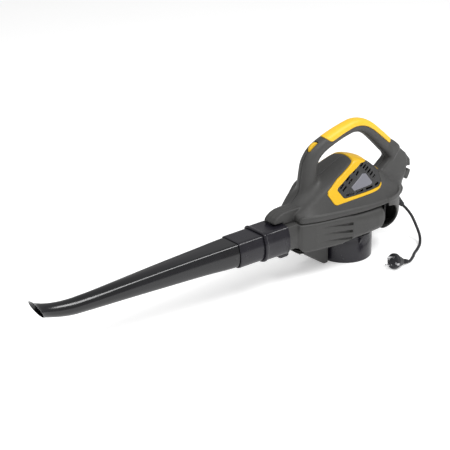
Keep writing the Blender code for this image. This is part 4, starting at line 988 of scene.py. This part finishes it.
def intake():
    profile = [
        (66.2, 64.3), (66.8, 63.7), (66.9, 61.0), (66.1, 60.2), (66.1, 52.0), (66.5, 51.0), (66.7, 22.0),
        (66.8, 3.0), (66.6, 0.8), (65.9, 0.1), (64.9, 0.1), (64.4, 0.9), (64.4, 27.0), (62.5, 29.7),
        (64.4, 29.7), (64.4, 63.6), (64.9, 64.3),
    ]
    mesh = turned("ring_wall", profile, 160)
    keep(mesh, "ring_wall", TUBE, "ring", ["intake_ring"])
    g = Grid((-22, -80, 38), (2, -62, 66), 0.8)
    t = math.radians(-100)
    along = g.x * math.cos(t) + g.y * math.sin(t)
    across = -g.x * math.sin(t) + g.y * math.cos(t)
    outline = [(65.6, 62), (74.5, 62), (75, 60.5), (74.5, 58.5), (65.6, 44)]
    flat_along, flat_z = np.broadcast_arrays(along, g.z)
    gusset = slab(polygon(flat_along, flat_z, outline), np.abs(across) - 1.7, 0.8)
    keep_surface("ring_gusset", g, gusset, TUBE, "ring")

    g = Grid((-66, -66, 28), (66, 66, 37), 0.9)
    radius = np.hypot(g.x, g.y)
    level = np.abs(g.z - 32.5)
    grille = slab(np.abs(radius - 62.0) - 2.1, level - 2.4, 0.7)
    for r in (22.0, 41.0):
        grille = smooth_min(grille, slab(np.abs(radius - r) - 1.3, level - 1.6, 0.6), 0.8)
    grille = smooth_min(grille, slab(radius - 7.0, level - 2.4, 0.8), 0.8)
    for i in range(6):
        t = math.radians(15 + 30 * i)
        bar = np.abs(-g.x * math.sin(t) + g.y * math.cos(t)) - 1.2
        bar = slab(bar, np.maximum(level - 2.0, radius - 62.0), 0.6)
        grille = smooth_min(grille, bar, 0.8)
    keep_surface("grille_bars", g, grille, INNER_BLACK_AND_SHADE, "ring", ["intake_grille"])


# ---------------------------------------------------------------- dial


def dial():
    teeth = 40

    def knurl(t, r, h):
        rim = max(0.0, r - 15.0) / 1.5
        return r - 0.55 * rim * (0.5 + 0.5 * math.cos(teeth * t))

    edge = [(0.0, 4.2), (12.0, 4.2), (12.6, 3.8), (14.6, 3.8), (15.8, 3.4), (16.5, 2.4)]
    profile = [*edge, (16.5, 0.0), *((radius, -height) for radius, height in reversed(edge))]
    mesh = turned("dial_wheel", profile, 320, (DIAL_X, 0, DIAL_Z), (0, 1, 0), knurl, 50.0)
    keep(mesh, "dial_wheel", YELLOW, "dial", ["speed_dial"])


# ---------------------------------------------------------------- cord and plug


def smooth_route(points, steps):
    """Points on a Catmull-Rom curve through the route."""
    full = [points[0] * 2 - points[1], *points, points[-1] * 2 - points[-2]]
    out = []
    for i in range(1, len(full) - 2):
        a, b, c, d = full[i - 1 : i + 3]
        for k in range(steps):
            t = k / steps
            square = 2 * a - 5 * b + 4 * c - d
            cube = 3 * (b - c) + d - a
            out.append(0.5 * (2 * b + (c - a) * t + square * t**2 + cube * t**3))
    out.append(points[-1])
    return out


CORD_ROUTE = (
    (195.0, -14.0, 61.0), (197.5, -29.0, 48.0), (193.0, -50.0, 30.5), (184.0, -72.0, 14.0),
    (165.0, -92.0, 5.4), (141.0, -108.0, 3.8), (119.0, -120.0, 3.8), (101.0, -132.5, 3.8),
)


def power_cord():
    tail = PLUG_FACE - PLUG_AXIS * (PLUG_LENGTH + 0.3)
    route = [GLAND_TIP + GLAND_AXIS * step for step in (-22, -9, 0, 6)]
    route += [Vector(point) for point in CORD_ROUTE]
    route += [tail - PLUG_AXIS * 14 + Vector((0, 3.0, 1.8)), tail - PLUG_AXIS * 5, tail]
    points = [place(point) for point in smooth_route(route, 6)]
    curve = bpy.data.curves.new("flex", "CURVE")
    curve.dimensions = "3D"
    curve.bevel_depth = 3.5 * MM
    curve.bevel_resolution = 6
    curve.use_fill_caps = True
    spline = curve.splines.new("POLY")
    spline.points.add(len(points) - 1)
    for point, at in zip(spline.points, points):
        point.co = (*at, 1)
    curve.materials.append(RUBBER)
    flex = bpy.data.objects.new("flex", curve)
    bpy.context.scene.collection.objects.link(flex)
    for s in curve.splines:
        s.use_smooth = True
    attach(flex, BODY)
    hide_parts("power_cord")
    return flex, points


def plug():
    profile = [
        (0.0, 0.0), (16.0, 0.0), (17.4, -0.4), (18.3, -1.4), (18.5, -3.0), (18.5, -8.2), (18.0, -9.6),
        (16.4, -11.4), (14.6, -15.0), (13.2, -20.0), (12.0, -24.0), (10.2, -27.5), (7.6, -30.4),
    ]
    for rib, (crest, root) in enumerate(((6.9, 5.3), (6.3, 5.1), (6.0, 4.9), (5.7, 4.7))):
        top = -31.4 - 3.4 * rib
        profile += [(crest, top), (crest, top - 1.2), (root, top - 1.8), (root, top - 2.8)]
    profile += [(5.3, -45.0), (5.3, -47.6), (4.9, -48.0), (0.0, -48.0)]

    def fluted(t, r, h):
        if -9.0 < h < -1.2 and r > 17:
            return r - 0.45 * (0.5 + 0.5 * math.cos(28 * t))
        if -28.0 < h < -11.0:
            return r * (1 - 0.07 * math.cos(2 * t))
        return r

    mesh = turned("plug_shell", profile, 224, PLUG_FACE, PLUG_AXIS, fluted, 45.0)
    shell = keep(mesh, "plug_shell", RUBBER, BODY, ["plug_body"])
    pieces = [shell]
    across = PLUG_AXIS.cross(Vector((0.35, 1.0, 0.0))).normalized()
    pin = [
        (0.0, 18.9), (1.2, 18.7), (2.0, 17.9), (2.4, 16.6), (2.4, 9.5), (2.15, 9.2), (2.15, 0.4),
        (2.4, 0.2), (2.4, 0.0), (0.0, 0.0),
    ]
    for number, side in enumerate((-1, 1), 1):
        foot = PLUG_FACE + across * (9.5 * side) + PLUG_AXIS * 0.3
        mesh = turned(f"pin_{number}", pin, 40, foot, PLUG_AXIS)
        pieces.append(keep(mesh, f"pin_{number}", STEEL, BODY, [f"plug_pin_{number}"]))
    side_way = PLUG_AXIS.cross(across)
    for number, sign in enumerate((-1, 1), 1):
        middle = PLUG_FACE + side_way * (14.2 * sign) - PLUG_AXIS * 3.4
        corners = []
        for a in (-1, 1):
            for b in (-1, 1):
                for c in (-1, 1):
                    corners.append(middle + across * (2.6 * a) + side_way * (4.2 * b) + PLUG_AXIS * (3.9 * c))
        bm = bmesh.new()
        verts = [bm.verts.new(place(corner)) for corner in corners]
        bmesh.ops.convex_hull(bm, input=verts)
        bmesh.ops.bevel(bm, geom=bm.edges[:], offset=0.0006, segments=2, affect="EDGES", profile=0.5)
        bmesh.ops.recalc_face_normals(bm, faces=bm.faces)
        mesh = bpy.data.meshes.new(f"earth_clip_{number}")
        bm.to_mesh(mesh)
        bm.free()
        pieces.append(keep(mesh, f"earth_clip_{number}", STEEL, BODY))
    return pieces


def gland():
    long = (GLAND_TIP - GLAND_ROOT).length
    rings = [(5.8, -7.0), (5.8, 7.3), (8.4, 7.4), (8.6, 7.9), (8.6, 10.4), (8.2, 11.0)]
    z = 11.0
    radius = 7.3
    while z < long - 3.4:
        crest = radius + 0.5
        rings += [(radius, z + 0.3), (crest, z + 0.9), (crest, z + 2.1), (radius - 0.2, z + 2.7)]
        z += 3.2
        radius -= 0.33
    rings += [(5.5, long - 0.4), (5.1, long), (3.8, long), (3.8, -7.0)]
    mesh = turned("gland_sleeve", rings, 64, GLAND_ROOT, GLAND_AXIS, sharp=50.0)
    keep(mesh, "gland_sleeve", RUBBER, BODY, ["cord_gland"])


flex, flex_points = power_cord()
plug_pieces = plug()
gland()
housing()
grip_cover()
covers()
fan_case()
# the near-black skin of painted shade behind the fan case
rear_painted_shade()
base_plate()
front_foot()
nozzle()
collar_and_middle()
tube_details()
intake()
dial()


# ---------------------------------------------------------------- the CAD nodes that stay in view


def dress_cad_nodes():
    slots = {row["node"]: row["material_slot"] for row in frame["record"]["subparts"]}
    for name, node in frame["nodes"].items():
        node.data.materials.clear()
        node.data.materials.append(SLOT_MATERIAL[slots[name]])


dress_cad_nodes()


# ---------------------------------------------------------------- studio


def studio():
    world = bpy.data.worlds.new("studio")
    bpy.context.scene.world = world
    world.use_nodes = True
    back = world.node_tree.nodes["Background"]
    back.inputs["Color"].default_value = (1.0, 1.0, 1.0, 1)
    seen = world.node_tree.nodes.new("ShaderNodeLightPath").outputs["Is Camera Ray"]
    strength = world.node_tree.nodes.new("ShaderNodeMapRange")
    strength.inputs["To Min"].default_value = 0.42
    strength.inputs["To Max"].default_value = 1.0
    world.node_tree.links.new(seen, strength.inputs["Value"])
    world.node_tree.links.new(strength.outputs["Result"], back.inputs["Strength"])

    mesh = bpy.data.meshes.new("floor")
    half = 14.0
    corners = [(-half, -half, 0), (half, -half, 0), (half, half, 0), (-half, half, 0)]
    mesh.from_pydata(corners, [], [(0, 1, 2, 3)])
    floor = bpy.data.objects.new("floor", mesh)
    bpy.context.scene.collection.objects.link(floor)
    n = Nodes("floor_pale")
    n.wire(n.blend(n.noise(3.0, 2.0), (0.88, 0.88, 0.88), (0.9, 0.9, 0.9)), "Base Color")
    n.shader.inputs["Roughness"].default_value = 0.9
    n.shader.inputs["Specular IOR Level"].default_value = 0.1
    n.shader.inputs["Emission Color"].default_value = (1.0, 1.0, 1.0, 1)
    n.shader.inputs["Emission Strength"].default_value = 0.36
    mesh.materials.append(n.material)
    floor.location.z = -0.0003

    def lamp(name, at, size, power, aim=(0.2, 0.0, 0.1)):
        data = bpy.data.lights.new(name, "AREA")
        data.shape = "RECTANGLE"
        data.size, data.size_y = size
        data.energy = power
        light = bpy.data.objects.new(name, data)
        bpy.context.scene.collection.objects.link(light)
        light.location = at
        light.rotation_mode = "QUATERNION"
        light.rotation_quaternion = (Vector(aim) - Vector(at)).to_track_quat("-Z", "Y")

    lamp("key", (1.3, -1.3, 2.3), (1.5, 0.8), 48.0)
    lamp("over", (-0.6, -0.2, 2.5), (2.2, 0.9), 26.0)
    lamp("side", (-2.4, -1.9, 1.5), (0.9, 1.2), 12.0)


studio()
scene = bpy.context.scene
scene.view_settings.view_transform = "Standard"
scene.view_settings.look = "None"
